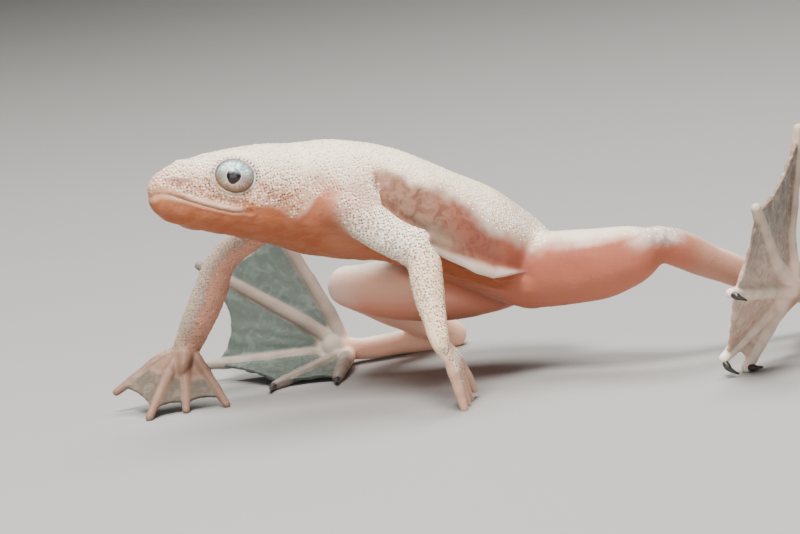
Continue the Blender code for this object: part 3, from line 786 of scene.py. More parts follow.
def raise_details(skin):
    """Moves the skin's points: face, folds, creases and warts. Returns masks."""
    mesh = skin.data
    points, _ = arrays(mesh)
    normal = normals_of(mesh)
    body = to_body(points)
    along, aside, above = body.T
    outside = off_trunk(body)
    trunk_own = 1 - smooth(1.12, 1.4, outside)
    head = trunk_own * (1 - smooth(9.5, 11.5, along))
    face_side = np.abs(aside)
    lift = np.zeros(len(points))
    mask = {}

    # How far each point lies from the limbs' bones, and how far along them.
    limb = {}
    for side in ("left", "right"):
        limb["arm_" + side] = to_line(points, [SHOULDER[side], ELBOW[side], WRIST[side]])
        limb["leg_" + side] = to_line(points, [HIP[side], KNEE[side], ANKLE[side], HUB[side]])
        for kind, paths, root in (
            ("hand_", finger_paths(side), WRIST[side]),
            ("foot_", toe_paths(side), HUB[side]),
        ):
            best = np.full(len(points), 1e9)
            share = np.zeros(len(points))
            for path in paths:
                d, t = to_line(points, path[::4])
                closer = d < best
                best[closer] = d[closer]
                share[closer] = t[closer]
            reach = np.linalg.norm(points - np.array(root), axis=1)
            ahead = (points - np.array(root)) @ unit(np.mean([path[-1] for path in paths], axis=0) - np.array(root))
            limb[kind + side] = (best, share, reach, ahead)

    on_arm = np.zeros(len(points))
    on_leg = np.zeros(len(points))
    on_foot = np.zeros(len(points))
    on_hand = np.zeros(len(points))
    web_mask = np.zeros(len(points))
    hub_mask = np.zeros(len(points))
    ray_mask = np.zeros(len(points))
    palm = np.minimum(limb["hand_left"][0], limb["hand_right"][0])
    for side in ("left", "right"):
        arm_d, arm_t = limb["arm_" + side]
        on_arm = np.maximum(on_arm, (1 - smooth(1.9, 3.0, arm_d)) * smooth(1.05, 1.35, outside))
        leg_d, leg_t = limb["leg_" + side]
        on_leg = np.maximum(on_leg, (1 - smooth(3.2, 4.2, leg_d)) * smooth(1.02, 1.42, outside))
        for kind, start, thick, solid in (("hand_", 0.5, 0.44, PALM_REACH[side] + 0.8), ("foot_", 0.2, 0.56, 1.9)):
            best, share, reach, ahead = limb[kind + side]
            beyond = smooth(start, start + 0.9, ahead) * (best < 4.2) * smooth(1.2, 1.6, outside)
            webbed = smooth(-0.04, 0.2, best - (thick - 0.2 * share)) * beyond * smooth(solid, solid + 0.8, reach)
            if kind == "foot_":
                thigh_d, _ = to_line(points, [HIP[side], KNEE[side]])
                shin_d, _ = to_line(points, [KNEE[side], ANKLE[side]])
                clear = np.maximum(smooth(2.7, 3.0, thigh_d) * smooth(1.7, 1.9, shin_d), 1 - smooth(0.8, 1.0, best))
                clear = clear * smooth(0.9, 1.4, palm)
                beyond = beyond * clear
                webbed = webbed * clear
                hub_mask = np.maximum(hub_mask, beyond * (1 - smooth(1.4, 4.6, reach)))
            web_mask = np.maximum(web_mask, webbed)
            ray_mask = np.maximum(ray_mask, beyond * (1 - webbed))
            on_foot = np.maximum(on_foot, beyond)
            if kind == "hand_":
                on_hand = np.maximum(on_hand, beyond)
    on_arm = on_arm * (1 - on_foot)
    on_leg = on_leg * (1 - on_foot) * (1 - on_arm)

    # Mouth: a groove, a full upper lip over it and a softer lower one.
    mouth = side_of_line(body, MOUTH)
    slope = np.interp(along, (0.0, 0.3, 0.5, 0.9, 1.4), (0.55, 0.45, 0.6, 0.85, 1.0))
    mouth = mouth * slope
    mouth_here = head * (1 - smooth(5.7, 6.9, along)) * smooth(0.25, 0.7, face_side) * smooth(-2.1, -1.5, above)
    mouth_here = np.maximum(mouth_here, head * (along < 0.6) * 0.7)
    further = smooth(0.6, 2.2, along)
    lift -= 0.1 * bell(mouth, 0.075) * mouth_here * (0.45 + 0.55 * further)
    lift += 0.1 * bell(mouth - 0.27, 0.18) * mouth_here * further
    lift += 0.05 * bell(mouth + 0.22, 0.14) * mouth_here * (0.2 + 0.8 * further)
    lift -= 0.09 * bell(above + 0.6, 0.45) * head * (1 - smooth(0.3, 1.3, along))
    corner = np.sqrt((along - 6.75) ** 2 + ((above + 0.38) * 1.4) ** 2)
    lift += 0.05 * bell(corner - 0.45, 0.2) * head
    lift -= 0.05 * bell(corner, 0.22) * head
    mask["lip"] = bell(mouth - 0.26, 0.24) * mouth_here * smooth(1.9, 3.0, along)
    mask["labial"] = bell(mouth - 0.2, 0.24) * mouth_here * (1 - smooth(1.8, 3.0, along))
    mask["lower_lip"] = bell(mouth + 0.16, 0.13) * mouth_here * smooth(1.5, 2.8, along) * (1 - 0.55 * smooth(2.8, 5.5, along))
    mask["chin"] = bell(mouth + 0.2, 0.17) * mouth_here * (1 - smooth(1.6, 2.8, along))
    mask["seam"] = bell(mouth, 0.06) * mouth_here * (0.25 + 0.75 * smooth(2.0, 4.0, along))

    # Nostrils: small pits with a raised rim, set in a long hollow.
    mask["nostril"] = np.zeros(len(points))
    for sign in (-1, 1):
        mine = head * (aside * sign > 0)
        d = np.sqrt((along - 1.5) ** 2 + ((above - 0.82) * 1.25) ** 2 + ((aside - sign * 1.5) * 0.5) ** 2)
        lift += (0.08 * bell(d - 0.3, 0.13) - 0.2 * bell(d, 0.14)) * mine
        lean = above - 0.80 - 0.18 * (along - 1.6)
        d = np.sqrt(((along - 1.85) / 1.0) ** 2 + (lean / 0.36) ** 2)
        lift -= 0.05 * bell(d, 0.9) * mine
        mask["nostril"] = np.maximum(mask["nostril"], (1 - smooth(0.35, 1.35, d)) * mine)

    # Cheek, jaw muscle, the hollow between head and shoulder, throat folds.
    for sign in (-1, 1):
        d = np.sqrt(((along - 12.3) / 1.5) ** 2 + ((above - 2.55) / 0.75) ** 2 + ((aside - sign * 5.0) / 1.6) ** 2)
        lift -= 0.22 * bell(d, 0.9) * (aside * sign > 0)
    low = 1 - smooth(-1.9, -0.9, above)
    lift += 0.05 * np.sin(along * 3.6 + 0.8 * np.sin(aside * 1.7)) * low * head * smooth(0.8, 2.0, along)
    lift += 0.05 * clouds(points, 1.1, 5) * low * trunk_own

    # Crease behind the shoulder, and the flank's loose fold.
    crease = ((15.7, 4.7), (15.75, 4.0), (15.9, 3.1), (16.4, 2.3), (17.2, 1.65), (18.3, 1.15), (19.3, 0.75))
    line = np.array([(x, z) for x, z in crease])
    for sign in (-1, 1):
        flat = np.stack([along, above, np.zeros(len(points))], axis=1)
        d, t = to_line(flat, [(x, z, 0.0) for x, z in line])
        behind = np.interp(above, line[::-1, 1], line[::-1, 0])
        step = along - behind
        here = (1 - smooth(0.0, 1.9, d)) * (aside * sign > 3.0) * smooth(0.02, 0.2, t) * (outside < 1.5)
        lift += here * np.where(step < 0, 0.17, -0.26) * smooth(0.0, 0.2, np.abs(step)) * (1 - smooth(0.45, 1.9, np.abs(step)))
        # The crease's mask also paints shade into its colour.
        mask["crease"] = np.maximum(mask.get("crease", 0), here * bell(step - 0.15, 0.3))
    ridge = side_of_line(body, FOLD)
    fold_here = smooth(17.8, 19.0, along) * (1 - smooth(27.8, 29.3, along)) * (face_side > 4.0) * (1 - smooth(1.35, 1.6, outside))
    wide = np.interp(along, (18.0, 20.5, 22.5, 24.5, 26.5, 28.0, 29.2), (0.24, 0.3, 0.62, 1.0, 0.95, 0.45, 0.12))
    over_line = ridge / wide
    lift += fold_here * (0.26 * smooth(-0.06, 0.16, over_line) * (1 - smooth(0.2, 1.5, over_line)) - 0.3 * bell(ridge + 0.32, 0.22))
    mask["ridge"] = fold_here * smooth(-0.08, 0.1, over_line) * (1 - smooth(0.3, 1.15, over_line))
    # Painted shadow under the flank's fold.
    mask["under"] = fold_here * smooth(-0.05, 0.15, -ridge) * (1 - smooth(0.9, 2.2, -ridge))

    # Muscle and slack skin: broad, shallow swellings everywhere but on webs.
    firm = 1 - on_foot
    lift += (0.06 * clouds(points, 2.6, 11) + 0.03 * clouds(points, 1.2, 12)) * firm * (1 - 0.75 * head)
    knee_folds = np.zeros(len(points))
    for side in ("left", "right"):
        for joint, size in ((KNEE[side], 2.3), (ANKLE[side], 1.9), (WRIST[side], 1.3), (ELBOW[side], 1.9)):
            knee_folds = np.maximum(knee_folds, near(points, joint, size))
    lift += 0.035 * knee_folds * clouds(points * np.array((1.0, 1.0, 1.6)), 0.42, 21)

    # Warts: fine ones all over the back, head and arms, fading on the legs.
    grain_head = head * smooth(-0.35, 0.35, side_of_line(body, THROAT_EDGE))
    grain_back = trunk_own * (1 - head) * smooth(-0.6, 0.6, side_of_line(body, BACK_EDGE))
    knee_top = np.maximum(near(points, KNEE["left"], 3.2), near(points, KNEE["right"], 3.2)) * smooth(0.0, 0.5, normal[:, 2])
    left_d, left_t = limb["arm_left"]
    front = normal @ unit((-0.95, -0.15, 0.0))
    slick = (points[:, 1] < 0) * smooth(0.82, 0.95, left_t) * smooth(0.3, 0.7, front)
    back_of_hand = on_hand * (points[:, 1] < 0) * (1 - web_mask) * (1 - smooth(0.0, 0.45, front)) * (1 - smooth(3.2, 4.8, limb["hand_left"][2]))
    grain_arm = on_arm * 0.95 * (1 - 0.85 * slick)
    patch = np.sqrt(((along - 14.5) / 2.2) ** 2 + ((above - 2.7) / 1.9) ** 2)
    shoulder = (1 - smooth(0.7, 1.15, patch)) * (along < 16.2) * (face_side > 2.5)
    grain = np.maximum.reduce(
        [grain_head, grain_back * 0.85, grain_arm, shoulder * 0.9, back_of_hand * 0.9, on_leg * 0.1, on_leg * knee_top * 0.45]
    )
    mask["dots"] = (1 - 0.85 * smooth(15.5, 19.5, along) * trunk_own) * (1 - 0.75 * on_arm * (points[:, 1] > 0)) * (1 - 0.6 * on_leg)
    smooth_skin = np.maximum.reduce([mask["lip"] * 0.9, mask["nostril"] * 0.85, mask["labial"], mask["chin"]])
    rough = grain * (1 - mask["lip"] * 0.6) + 0.1
    small, own = warts(points, 0.3, 1)
    lift += rough * (1 - on_foot) * (0.045 * smooth(0.1, 0.95, small) * (0.5 + 0.8 * own))
    large, own_large = warts(points, 0.8, 2)
    lift += grain * (own_large > 0.75) * 0.02 * smooth(0.3, 1.0, large)
    lift += 0.05 * (trunk_own * (1 - grain_back) * (along > 13) * (1 - head)) * clouds(points, 0.8, 31)

    # Webs: fine pleats that fan out from the foot.
    for side in ("left", "right"):
        hub = np.array(HUB[side])
        tips = np.array(TOE_TIPS[side])
        spread = unit(tips[0] - tips[-1])
        way = points - hub
        angle = np.arctan2(way @ spread, np.linalg.norm(way - (way @ spread)[:, None] * spread, axis=1))
        best, share, reach, _ = limb["foot_" + side]
        mine = (best < 4.0) * web_mask * smooth(2.5, 5.0, reach)
        lift += mine * (0.035 * np.sin(angle * 46 + 2.2 * clouds(points, 1.6, 41)) + 0.04 * clouds(points, 0.9, 42))

    points = points + lift[:, None] * normal

    # Eyelids last, so that nothing roughens their edge.
    for side in ("left", "right"):
        points, marks = lids(points, side)
        for name, value in marks.items():
            mask[name] = np.maximum(mask.get(name, 0), value)
    rim = mask["rim"]

    # Soles pressed level with the floor.
    points[:, 2] = np.maximum(points[:, 2], SINK)

    mask.update(web=web_mask, ray=ray_mask * (1 - 0.75 * back_of_hand), hand=on_hand, hub=hub_mask)
    mask["forearm"] = on_arm * (points[:, 1] < 0) * smooth(0.4, 0.6, left_t)
    mask["leg"] = np.maximum(on_leg, trunk_own * smooth(25.0, 28.5, along))
    mask["knee"] = on_leg * (1 - smooth(0.4, 1.0, np.linalg.norm((points - np.array(KNEE["left"]) - np.array((0.3, -0.6, 0.9))) / np.array((2.6, 2.2, 1.6)), axis=1)))
    mask["palm"] = (1 - smooth(2.3, 3.3, np.linalg.norm(points - np.array(WRIST["right"]), axis=1))) * smooth(-0.9, 0.9, limb["hand_right"][3])
    mask.update(colour_masks(points, body, normal, trunk_own, head, on_arm, on_leg, on_foot))
    mask["pale"] = np.maximum.reduce([mask["pale"], back_of_hand, shoulder * 0.8])
    mask["grain"] = grain * (1 - rim) * (1 - smooth_skin) * (1 - 0.55 * mask["tan"])
    shift = np.array((-CENTRE[0], -CENTRE[1], -SINK))
    mesh.vertices.foreach_set("co", ((points + shift) * MM).ravel())
    mesh.update()
    for name, value in mask.items():
        layer = mesh.attributes.new("m_" + name, "FLOAT", "POINT")
        layer.data.foreach_set("value", np.clip(np.asarray(value, float), 0, 1))
    return mask


# Where the warty white skin ends: above the throat and shoulder, on the back.
THROAT_EDGE = (
    (0.0, -0.5),
    (1.0, -0.3),
    (2.5, -0.35),
    (4.5, -0.6),
    (6.2, -0.5),
    (7.0, -0.15),
    (8.0, 0.2),
    (9.0, 0.15),
    (9.8, -0.15),
    (10.4, -0.2),
    (10.9, 0.25),
    (11.35, 1.2),
    (11.8, 2.1),
    (12.1, 2.4),
    (12.55, 1.9),
    (12.8, 1.0),
    (13.4, 0.25),
    (14.0, -0.1),
    (14.8, -0.28),
)
BACK_EDGE = (
    (12.0, 1.6),
    (14.2, 3.2),
    (15.5, 4.1),
    (16.7, 4.5),
    (18.2, 4.25),
    (19.6, 4.0),
    (21.2, 4.0),
    (22.3, 3.65),
    (23.6, 2.95),
    (25.1, 2.2),
    (27.1, 1.7),
    (29.2, 1.05),
    (33.0, 0.6),
)
# The outer side of each arm. Each arm is painted paler where it faces this way and salmon where it faces away: painted
# light and shade.
ARM_OUT = {"left": (-0.45, -0.75, 0.4), "right": (-0.75, 0.55, 0.35)}


def colour_masks(points, body, normal, trunk_own, head, on_arm, on_leg, on_foot):
    along, aside, above = body.T
    wander = 0.25 * clouds(points, 1.3, 51) + 0.15 * clouds(points, 0.5, 52)
    throat = side_of_line(body, THROAT_EDGE) + wander * 0.7
    back = side_of_line(body, BACK_EDGE) + wander * 1.6
    fold = side_of_line(body, FOLD) + wander * 0.5
    front = 1 - smooth(12.4, 14.2, along)
    soft = np.interp(along, (15.0, 19.0, 24.0), (0.45, 0.8, 1.25))
    pale_trunk = front * smooth(-0.25, 0.65, throat) + (1 - front) * smooth(-1.0, 1.0, back / soft)
    # Salmon underside: partly the skin's own colour, partly painted orange bounce light.
    salmon_trunk = front * (1 - smooth(-0.65, 0.35, throat)) + (1 - front) * (1 - smooth(-0.2, 0.1, fold + 0.1))
    up = normal[:, 2]
    near_side = points[:, 1] < 0
    light = np.where(near_side, normal @ np.array(ARM_OUT["left"]), normal @ np.array(ARM_OUT["right"]) - 0.25)
    pale_arm = smooth(-0.5, -0.08, light + wander * 0.4)
    salmon_arm = 1 - smooth(-0.6, -0.2, light + wander * 0.3)
    # Legs: paler where the skin faces up, salmon where it faces down: partly the skin's own paler top, partly painted
    # light from above and painted shade below.
    pale_leg = smooth(0.48, 1.0, up + wander * 0.3)
    salmon_leg = 1 - smooth(-0.75, 0.45, up + wander * 0.3)
    shin = np.zeros(len(points))
    knee = np.zeros(len(points))
    for side in ("left", "right"):
        d, t = to_line(points, [KNEE[side], ANKLE[side], HUB[side]])
        thigh, _ = to_line(points, [HIP[side], KNEE[side]])
        shin = np.maximum(shin, (d < thigh) * smooth(0.02, 0.2, t))
        knee = np.maximum(knee, near(points, KNEE[side], 2.9))
    # Painted light: the knees are painted paler where they face up or to the front.
    front_side = normal @ np.array((-0.8, -0.3, 0.5))
    pale_leg = np.maximum(pale_leg * (1 - 0.15 * shin), knee * smooth(0.0, 0.6, np.where(near_side, up + 0.1, front_side)))
    body_share = np.clip(1 - on_arm - on_leg - on_foot, 0, 1)
    total = np.maximum(body_share + on_arm + on_leg + on_foot, 1e-6)
    pale = (body_share * pale_trunk + on_arm * pale_arm + on_leg * pale_leg + on_foot * 0.3) / total
    salmon = (body_share * salmon_trunk + on_arm * salmon_arm + on_leg * salmon_leg * (1 - 0.85 * np.maximum(shin, knee))) / total
    # Orange chest and arms: partly painted orange bounce light.
    orange = body_share * (1 - smooth(13.5, 19.0, along)) + on_arm * 0.35
    flank = body_share * (1 - front) * (1 - salmon_trunk) * (1 - smooth(24.2, 27.3, along))
    flush = flank * smooth(20.5, 24.5, along + above * 0.5)
    ashen = flank * bell(np.sqrt(((along - 20.6) / 1.9) ** 2 + ((fold - 1.1) / 0.75) ** 2), 1.0)
    # Painted shade: the far hand and foot take darker copies of their colours.
    far = on_foot * (points[:, 1] > 0)
    # Skin facing up on the back and crown is painted creamier and lighter: partly its own finer grain, partly painted
    # light from above.
    cream = body_share * smooth(0.15, 0.85, up - 0.1) * smooth(2.0, 3.6, above)
    # Pink patches of the skin; the spot at 12.5 along, 2.5 above is painted shade in the hollow between head and
    # shoulder.
    blush = np.zeros(len(points))
    for a, z, wide, tall, amount in (
        (7.2, 1.85, 0.5, 0.4, 1.0),
        (8.6, 1.25, 1.5, 0.45, 0.7),
        (12.5, 2.5, 1.3, 0.9, 1.0),
        (16.2, 3.9, 1.0, 0.7, 0.8),
        (2.9, 0.55, 0.9, 0.3, 0.4),
        (13.0, 1.0, 1.5, 1.5, 0.9),
        (14.2, 2.2, 1.5, 1.3, 0.9),
    ):
        d = np.sqrt(((along - a) / wide) ** 2 + ((above - z) / tall) ** 2)
        blush = np.maximum(blush, amount * bell(d, 1.0) * np.maximum(trunk_own, on_arm))
    tan = np.zeros(len(points))
    for a, z, wide, tall, amount in ((6.6, 0.05, 1.3, 0.42, 1.0), (8.1, 0.0, 1.2, 0.35, 0.7), (9.6, 0.5, 0.9, 0.5, 0.6), (4.4, 0.2, 1.0, 0.3, 0.5)):
        d = np.sqrt(((along - a) / wide) ** 2 + ((above - z) / tall) ** 2)
        tan = np.maximum(tan, amount * bell(d, 1.0) * trunk_own)
    # Painted light: the far leg is painted lighter than the near one.
    far_leg = on_leg * (points[:, 1] > 0)
    # Painted shade: the far arm is painted darker.
    far_arm = on_arm * (points[:, 1] > 0)
    # Pinker skin low on the head and neck, and painted shade on each arm's side turned from the light.
    flesh = body_share * (1 - smooth(0.3, 2.6, above - 0.12 * along)) * front + on_arm * (1 - smooth(-0.3, 0.6, light)) * 0.6
    # Painted shade: where the skin faces down.
    lower = 1 - smooth(-0.95, -0.2, up)
    # Painted shade: webs and digits are painted darker higher above the floor, lighter near it.
    high = np.where(near_side, smooth(6.0, 12.5, points[:, 2]), smooth(1.6, 5.0, points[:, 2]))
    return dict(
        flesh=flesh,
        lower=lower,
        far_leg=far_leg,
        far_arm=far_arm,
        high=high,
        pale=pale,
        salmon=salmon,
        orange=orange,
        mottle=flank,
        flush=flush,
        ashen=ashen,
        far=far,
        cream=cream,
        blush=blush,
        tan=tan,
        shin=shin * on_leg,
    )


# ---------------------------------------------------------------- materials
class Nodes:
    """A short way to write a node tree."""

    def __init__(self, material):
        material.use_nodes = True
        self.tree = material.node_tree
        self.shader = self.tree.nodes["Principled BSDF"]

    def put(self, kind, **settings):
        node = self.tree.nodes.new(kind)
        for key, value in settings.items():
            setattr(node, key, value)
        return node

    def link(self, a, b):
        self.tree.links.new(a, b)

    def feed(self, socket, value):
        if isinstance(value, bpy.types.NodeSocket):
            self.link(value, socket)
        elif isinstance(value, tuple) and len(value) == 3 and socket.type == "RGBA":
            socket.default_value = (*value, 1.0)
        else:
            socket.default_value = value

    def maths(self, what, a, b=0.0, c=None, clamp=False):
        node = self.put("ShaderNodeMath", operation=what, use_clamp=clamp)
        self.feed(node.inputs[0], a)
        self.feed(node.inputs[1], b)
        if c is not None:
            self.feed(node.inputs[2], c)
        return node.outputs[0]

    def ease(self, value, low, high, start=0.0, end=1.0):
        node = self.put("ShaderNodeMapRange", interpolation_type="SMOOTHSTEP", clamp=True)
        self.feed(node.inputs["Value"], value)
        node.inputs["From Min"].default_value = low
        node.inputs["From Max"].default_value = high
        node.inputs["To Min"].default_value = start
        node.inputs["To Max"].default_value = end
        return node.outputs["Result"]

    def mix(self, share, a, b, blend="MIX"):
        node = self.put("ShaderNodeMix", data_type="RGBA", blend_type=blend)
        self.feed(node.inputs[0], share)
        self.feed(node.inputs[6], a)
        self.feed(node.inputs[7], b)
        return node.outputs[2]

    def mask(self, name):
        return self.put("ShaderNodeAttribute", attribute_name="m_" + name).outputs["Fac"]

    def place(self, scale=(1.0, 1.0, 1.0)):
        where = self.put("ShaderNodeTexCoord").outputs["Object"]
        if scale == (1.0, 1.0, 1.0):
            return where
        node = self.put("ShaderNodeMapping")
        self.link(where, node.inputs["Vector"])
        node.inputs["Scale"].default_value = scale
        return node.outputs["Vector"]

    def noise(self, where, per_mm, detail=3.0, rough=0.55, distort=0.0):
        node = self.put("ShaderNodeTexNoise")
        self.link(where, node.inputs["Vector"])
        node.inputs["Scale"].default_value = per_mm * 1000
        node.inputs["Detail"].default_value = detail
        node.inputs["Roughness"].default_value = rough
        node.inputs["Distortion"].default_value = distort
        return node.outputs["Fac"]

    def cells(self, where, per_mm, feature="F1", spread=1.0):
        node = self.put("ShaderNodeTexVoronoi", feature=feature)
        self.link(where, node.inputs["Vector"])
        node.inputs["Scale"].default_value = per_mm * 1000
        node.inputs["Randomness"].default_value = spread
        return node

    def bump(self, height, distance_mm, strength=1.0, normal=None):
        node = self.put("ShaderNodeBump")
        node.inputs["Distance"].default_value = distance_mm * MM
        self.feed(node.inputs["Strength"], strength)
        self.feed(node.inputs["Height"], height)
        if normal is not None:
            self.link(normal, node.inputs["Normal"])
        return node.outputs["Normal"]


def skin_material():
    material = bpy.data.materials.new("frog_skin")
    n = Nodes(material)
    where = n.place()
    pale, salmon, orange = n.mask("pale"), n.mask("salmon"), n.mask("orange")
    grain, web, far, hand = n.mask("grain"), n.mask("web"), n.mask("far"), n.mask("hand")

    def over(name, share, base, tone):
        """Lays a tone over the base where the mask is."""
        mask = n.mask(name) if isinstance(name, str) else name
        return n.mix(n.maths("MULTIPLY", mask, share), base, tone)

    # Large fields of colour. The salmon and orange underside is partly the skin's own pinker belly, partly painted
    # orange bounce light.
    slow = n.noise(where, 0.45, 3)
    colour = n.mix(slow, (0.34, 0.102, 0.062), (0.37, 0.122, 0.078))  # pink flesh of the legs
    colour = over("shin", 0.6, colour, (0.52, 0.34, 0.25))
    # Painted light: the far leg takes lighter copies of the leg, belly and pale tones.
    colour = over("far_leg", 0.9, colour, (0.98, 0.58, 0.42))
    soft = n.ease(n.noise(n.place((1.0, 1.0, 2.0)), 0.9, 4, 0.6, 0.6), 0.34, 0.66)
    belly = n.mix(orange, (0.50, 0.165, 0.085), n.mix(soft, (0.42, 0.155, 0.072), (0.50, 0.22, 0.125)))
    belly = over("leg", 0.85, belly, (0.48, 0.16, 0.10))
    belly = over("far_leg", 0.8, belly, (0.82, 0.32, 0.205))
    colour = n.mix(salmon, colour, belly)
    blotch = n.ease(n.noise(where, 1.05, 5, 0.66, 0.8), 0.4, 0.6)
    flank = n.mix(blotch, (0.28, 0.16, 0.11), (0.165, 0.08, 0.055))
    flank = over("flush", 0.85, flank, n.mix(blotch, (0.27, 0.086, 0.058), (0.21, 0.066, 0.046)))
    flank = over("ashen", 0.85, flank, (0.245, 0.185, 0.13))
    colour = over("mottle", 0.95, colour, flank)
    # Painted shadow under the flank's fold, deep orange.
    colour = over("under", 0.85, colour, (0.34, 0.095, 0.042))
    white = n.mix(n.noise(where, 1.3, 4), (0.82, 0.70, 0.55), (0.92, 0.82, 0.66))
    white = over("flesh", 0.85, white, (0.66, 0.46, 0.35))
    # Partly painted light from above on the up-facing back and crown.
    white = over("cream", 0.8, white, (0.98, 0.87, 0.64))
    white = over("leg", 0.7, white, n.mix(n.mask("far_leg"), (0.72, 0.60, 0.50), (0.86, 0.78, 0.68)))
    colour = n.mix(pale, colour, white)
    colour = over("knee", 0.75, colour, n.mix(n.ease(n.noise(where, 1.6, 4), 0.35, 0.65), (0.30, 0.24, 0.235), (0.60, 0.53, 0.51)))
    colour = over("ridge", 0.85, colour, (0.84, 0.70, 0.58))
    # Painted shade in the crease behind the shoulder.
    colour = over("crease", 0.6, colour, (0.28, 0.12, 0.075))
    # Pink patches, and painted shade in the hollow between head and shoulder.
    colour = over("blush", 0.5, colour, (0.56, 0.31, 0.25))
    colour = over("tan", 0.6, colour, (0.52, 0.28, 0.15))
    colour = over("nostril", 0.9, colour, (0.29, 0.175, 0.17))
    teeth = n.noise(n.place((3.0, 3.0, 0.4)), 2.2, 2)
    colour = over("labial", 0.8, colour, n.mix(teeth, (0.52, 0.31, 0.19), (0.68, 0.48, 0.35)))
    colour = over("lip", 0.85, colour, (0.88, 0.79, 0.66))
    colour = over("lower_lip", 0.6, colour, (0.62, 0.37, 0.23))
    colour = over("chin", 0.8, colour, (0.74, 0.55, 0.41))
    colour = over("seam", 0.6, colour, (0.36, 0.17, 0.09))
    # Painted shade: salmon skin that faces down is darkened, the legs left out.
    below = n.maths("MULTIPLY", n.maths("MULTIPLY", n.mask("lower"), salmon), n.maths("SUBTRACT", 1.0, n.mask("leg")))
    colour = over(below, 0.5, colour, (0.30, 0.08, 0.030))

    # Hands and feet: greyish webs, paler digits. The far hand and foot take darker copies of their colours: painted
    # shade.
    veins = n.ease(n.noise(where, 0.9, 5, 0.6, 1.2), 0.46, 0.66)
    # Painted shade: the near webs are darker higher up.
    near_web = n.mix(n.mask("high"), n.mix(veins, (0.50, 0.35, 0.27), (0.68, 0.50, 0.39)), n.mix(veins, (0.17, 0.128, 0.098), (0.36, 0.27, 0.21)))
    # Painted shade: the far webs are much darker than the near ones.
    far_web = n.mix(veins, (0.060, 0.094, 0.083), (0.098, 0.14, 0.124))
    membrane = n.mix(far, near_web, far_web)
    membrane = n.mix(hand, membrane, n.mix(far, (0.50, 0.32, 0.24), n.mix(veins, (0.08, 0.072, 0.056), (0.14, 0.118, 0.092))))
    colour = over(web, 0.94, colour, membrane)
    # Painted shade: the digits are darker higher up.
    ray = n.mix(far, n.mix(n.mask("high"), (0.94, 0.83, 0.69), (0.60, 0.49, 0.39)), n.mix(n.mask("high"), (0.25, 0.25, 0.225), (0.15, 0.153, 0.136)))
    ray = over("hub", 0.8, ray, n.mix(far, (0.84, 0.60, 0.47), (0.42, 0.375, 0.32)))
    ray = n.mix(hand, ray, n.mix(far, (0.74, 0.45, 0.315), (0.15, 0.088, 0.056)))
    colour = over("ray", 0.9, colour, ray)

    # Fine grain: close-set warts with dark tips on a pinkish base, and painted highlights: a white glint beside each
    # wart.
    strength = n.maths("MULTIPLY", grain, n.maths("MULTIPLY_ADD", pale, 0.9, 0.1))
    bare = n.maths("SUBTRACT", 1.0, n.maths("MULTIPLY", n.mask("cream"), 0.7))
    strength = n.maths("MULTIPLY", strength, bare)
    patches = n.ease(n.noise(where, 0.4, 3), 0.3, 0.62)
    wart = n.cells(where, 4.8, "F1", 0.7)
    chance = n.put("ShaderNodeSeparateColor")
    n.link(wart.outputs["Color"], chance.inputs[0])
    keep = n.ease(n.maths("SUBTRACT", n.maths("MULTIPLY", strength, 1.15), chance.outputs[0]), 0.0, 0.15)
    # Painted highlights: the same cells, shifted a little, give each wart a white glint on one side of its dark tip.
    moved = n.put("ShaderNodeMapping")
    n.link(where, moved.inputs["Vector"])
    moved.inputs["Location"].default_value = (0.104 * MM, 0.104 * MM, 0.104 * MM)
    beside = n.cells(moved.outputs["Vector"], 4.8, "F1", 0.7)
    glint_chance = n.put("ShaderNodeSeparateColor")
    n.link(beside.outputs["Color"], glint_chance.inputs[0])
    glint_keep = n.ease(n.maths("SUBTRACT", n.maths("MULTIPLY", strength, 1.15), glint_chance.outputs[0]), 0.0, 0.15)
    between = n.maths("MULTIPLY", n.ease(strength, 0.0, 0.5), n.maths("MULTIPLY_ADD", patches, 0.4, 0.6))
    colour = over(between, 0.5, colour, n.mix(n.mask("blush"), (0.60, 0.42, 0.31), (0.42, 0.25, 0.19)))
    # The painted highlight: a white glint.
    speck = n.ease(beside.outputs["Distance"], 0.30, 0.52, 1.0, 0.0)
    glint_shown = n.maths("MULTIPLY", glint_keep, n.maths("MULTIPLY_ADD", n.mask("blush"), -0.3, 1.0))
    colour = over(n.maths("MULTIPLY", speck, glint_shown), 0.92, colour, (1.0, 0.94, 0.83))
    dot = n.ease(wart.outputs["Distance"], 0.23, 0.46, 1.0, 0.0)
    dot = n.maths("MULTIPLY", dot, n.maths("MULTIPLY_ADD", chance.outputs[1], 0.4, 0.6))
    dot = n.maths("MULTIPLY", dot, n.maths("MULTIPLY_ADD", patches, 0.4, 0.6))
    dot = n.maths("MULTIPLY", dot, n.mask("dots"))
    colour = over(n.maths("MULTIPLY", dot, keep), 0.86, colour, (0.085, 0.064, 0.054))
    flushed = n.maths("MULTIPLY", n.mask("blush"), 0.75)
    colour = n.mix(flushed, colour, (0.66, 0.48, 0.42), "MULTIPLY")
    colour = n.mix(n.maths("MULTIPLY", n.mask("tan"), 0.85), colour, (0.66, 0.39, 0.235), "MULTIPLY")
    # Pinker low head and neck, and painted shade on the arms' turned-away side.
    colour = n.mix(n.maths("MULTIPLY", n.mask("flesh"), 0.85), colour, (0.88, 0.70, 0.60), "MULTIPLY")
    colour = n.mix(n.maths("MULTIPLY", n.mask("forearm"), 0.8), colour, (0.96, 0.80, 0.67), "MULTIPLY")
    # Painted shade on the far arm.
    colour = over("far_arm", 0.72, colour, n.mix(salmon, (0.31, 0.23, 0.175), (0.62, 0.34, 0.25)))
    # Painted shade: the far wrist and palm are laid over with one dark brown.
    colour = over("palm", 0.7, colour, (0.25, 0.145, 0.10))

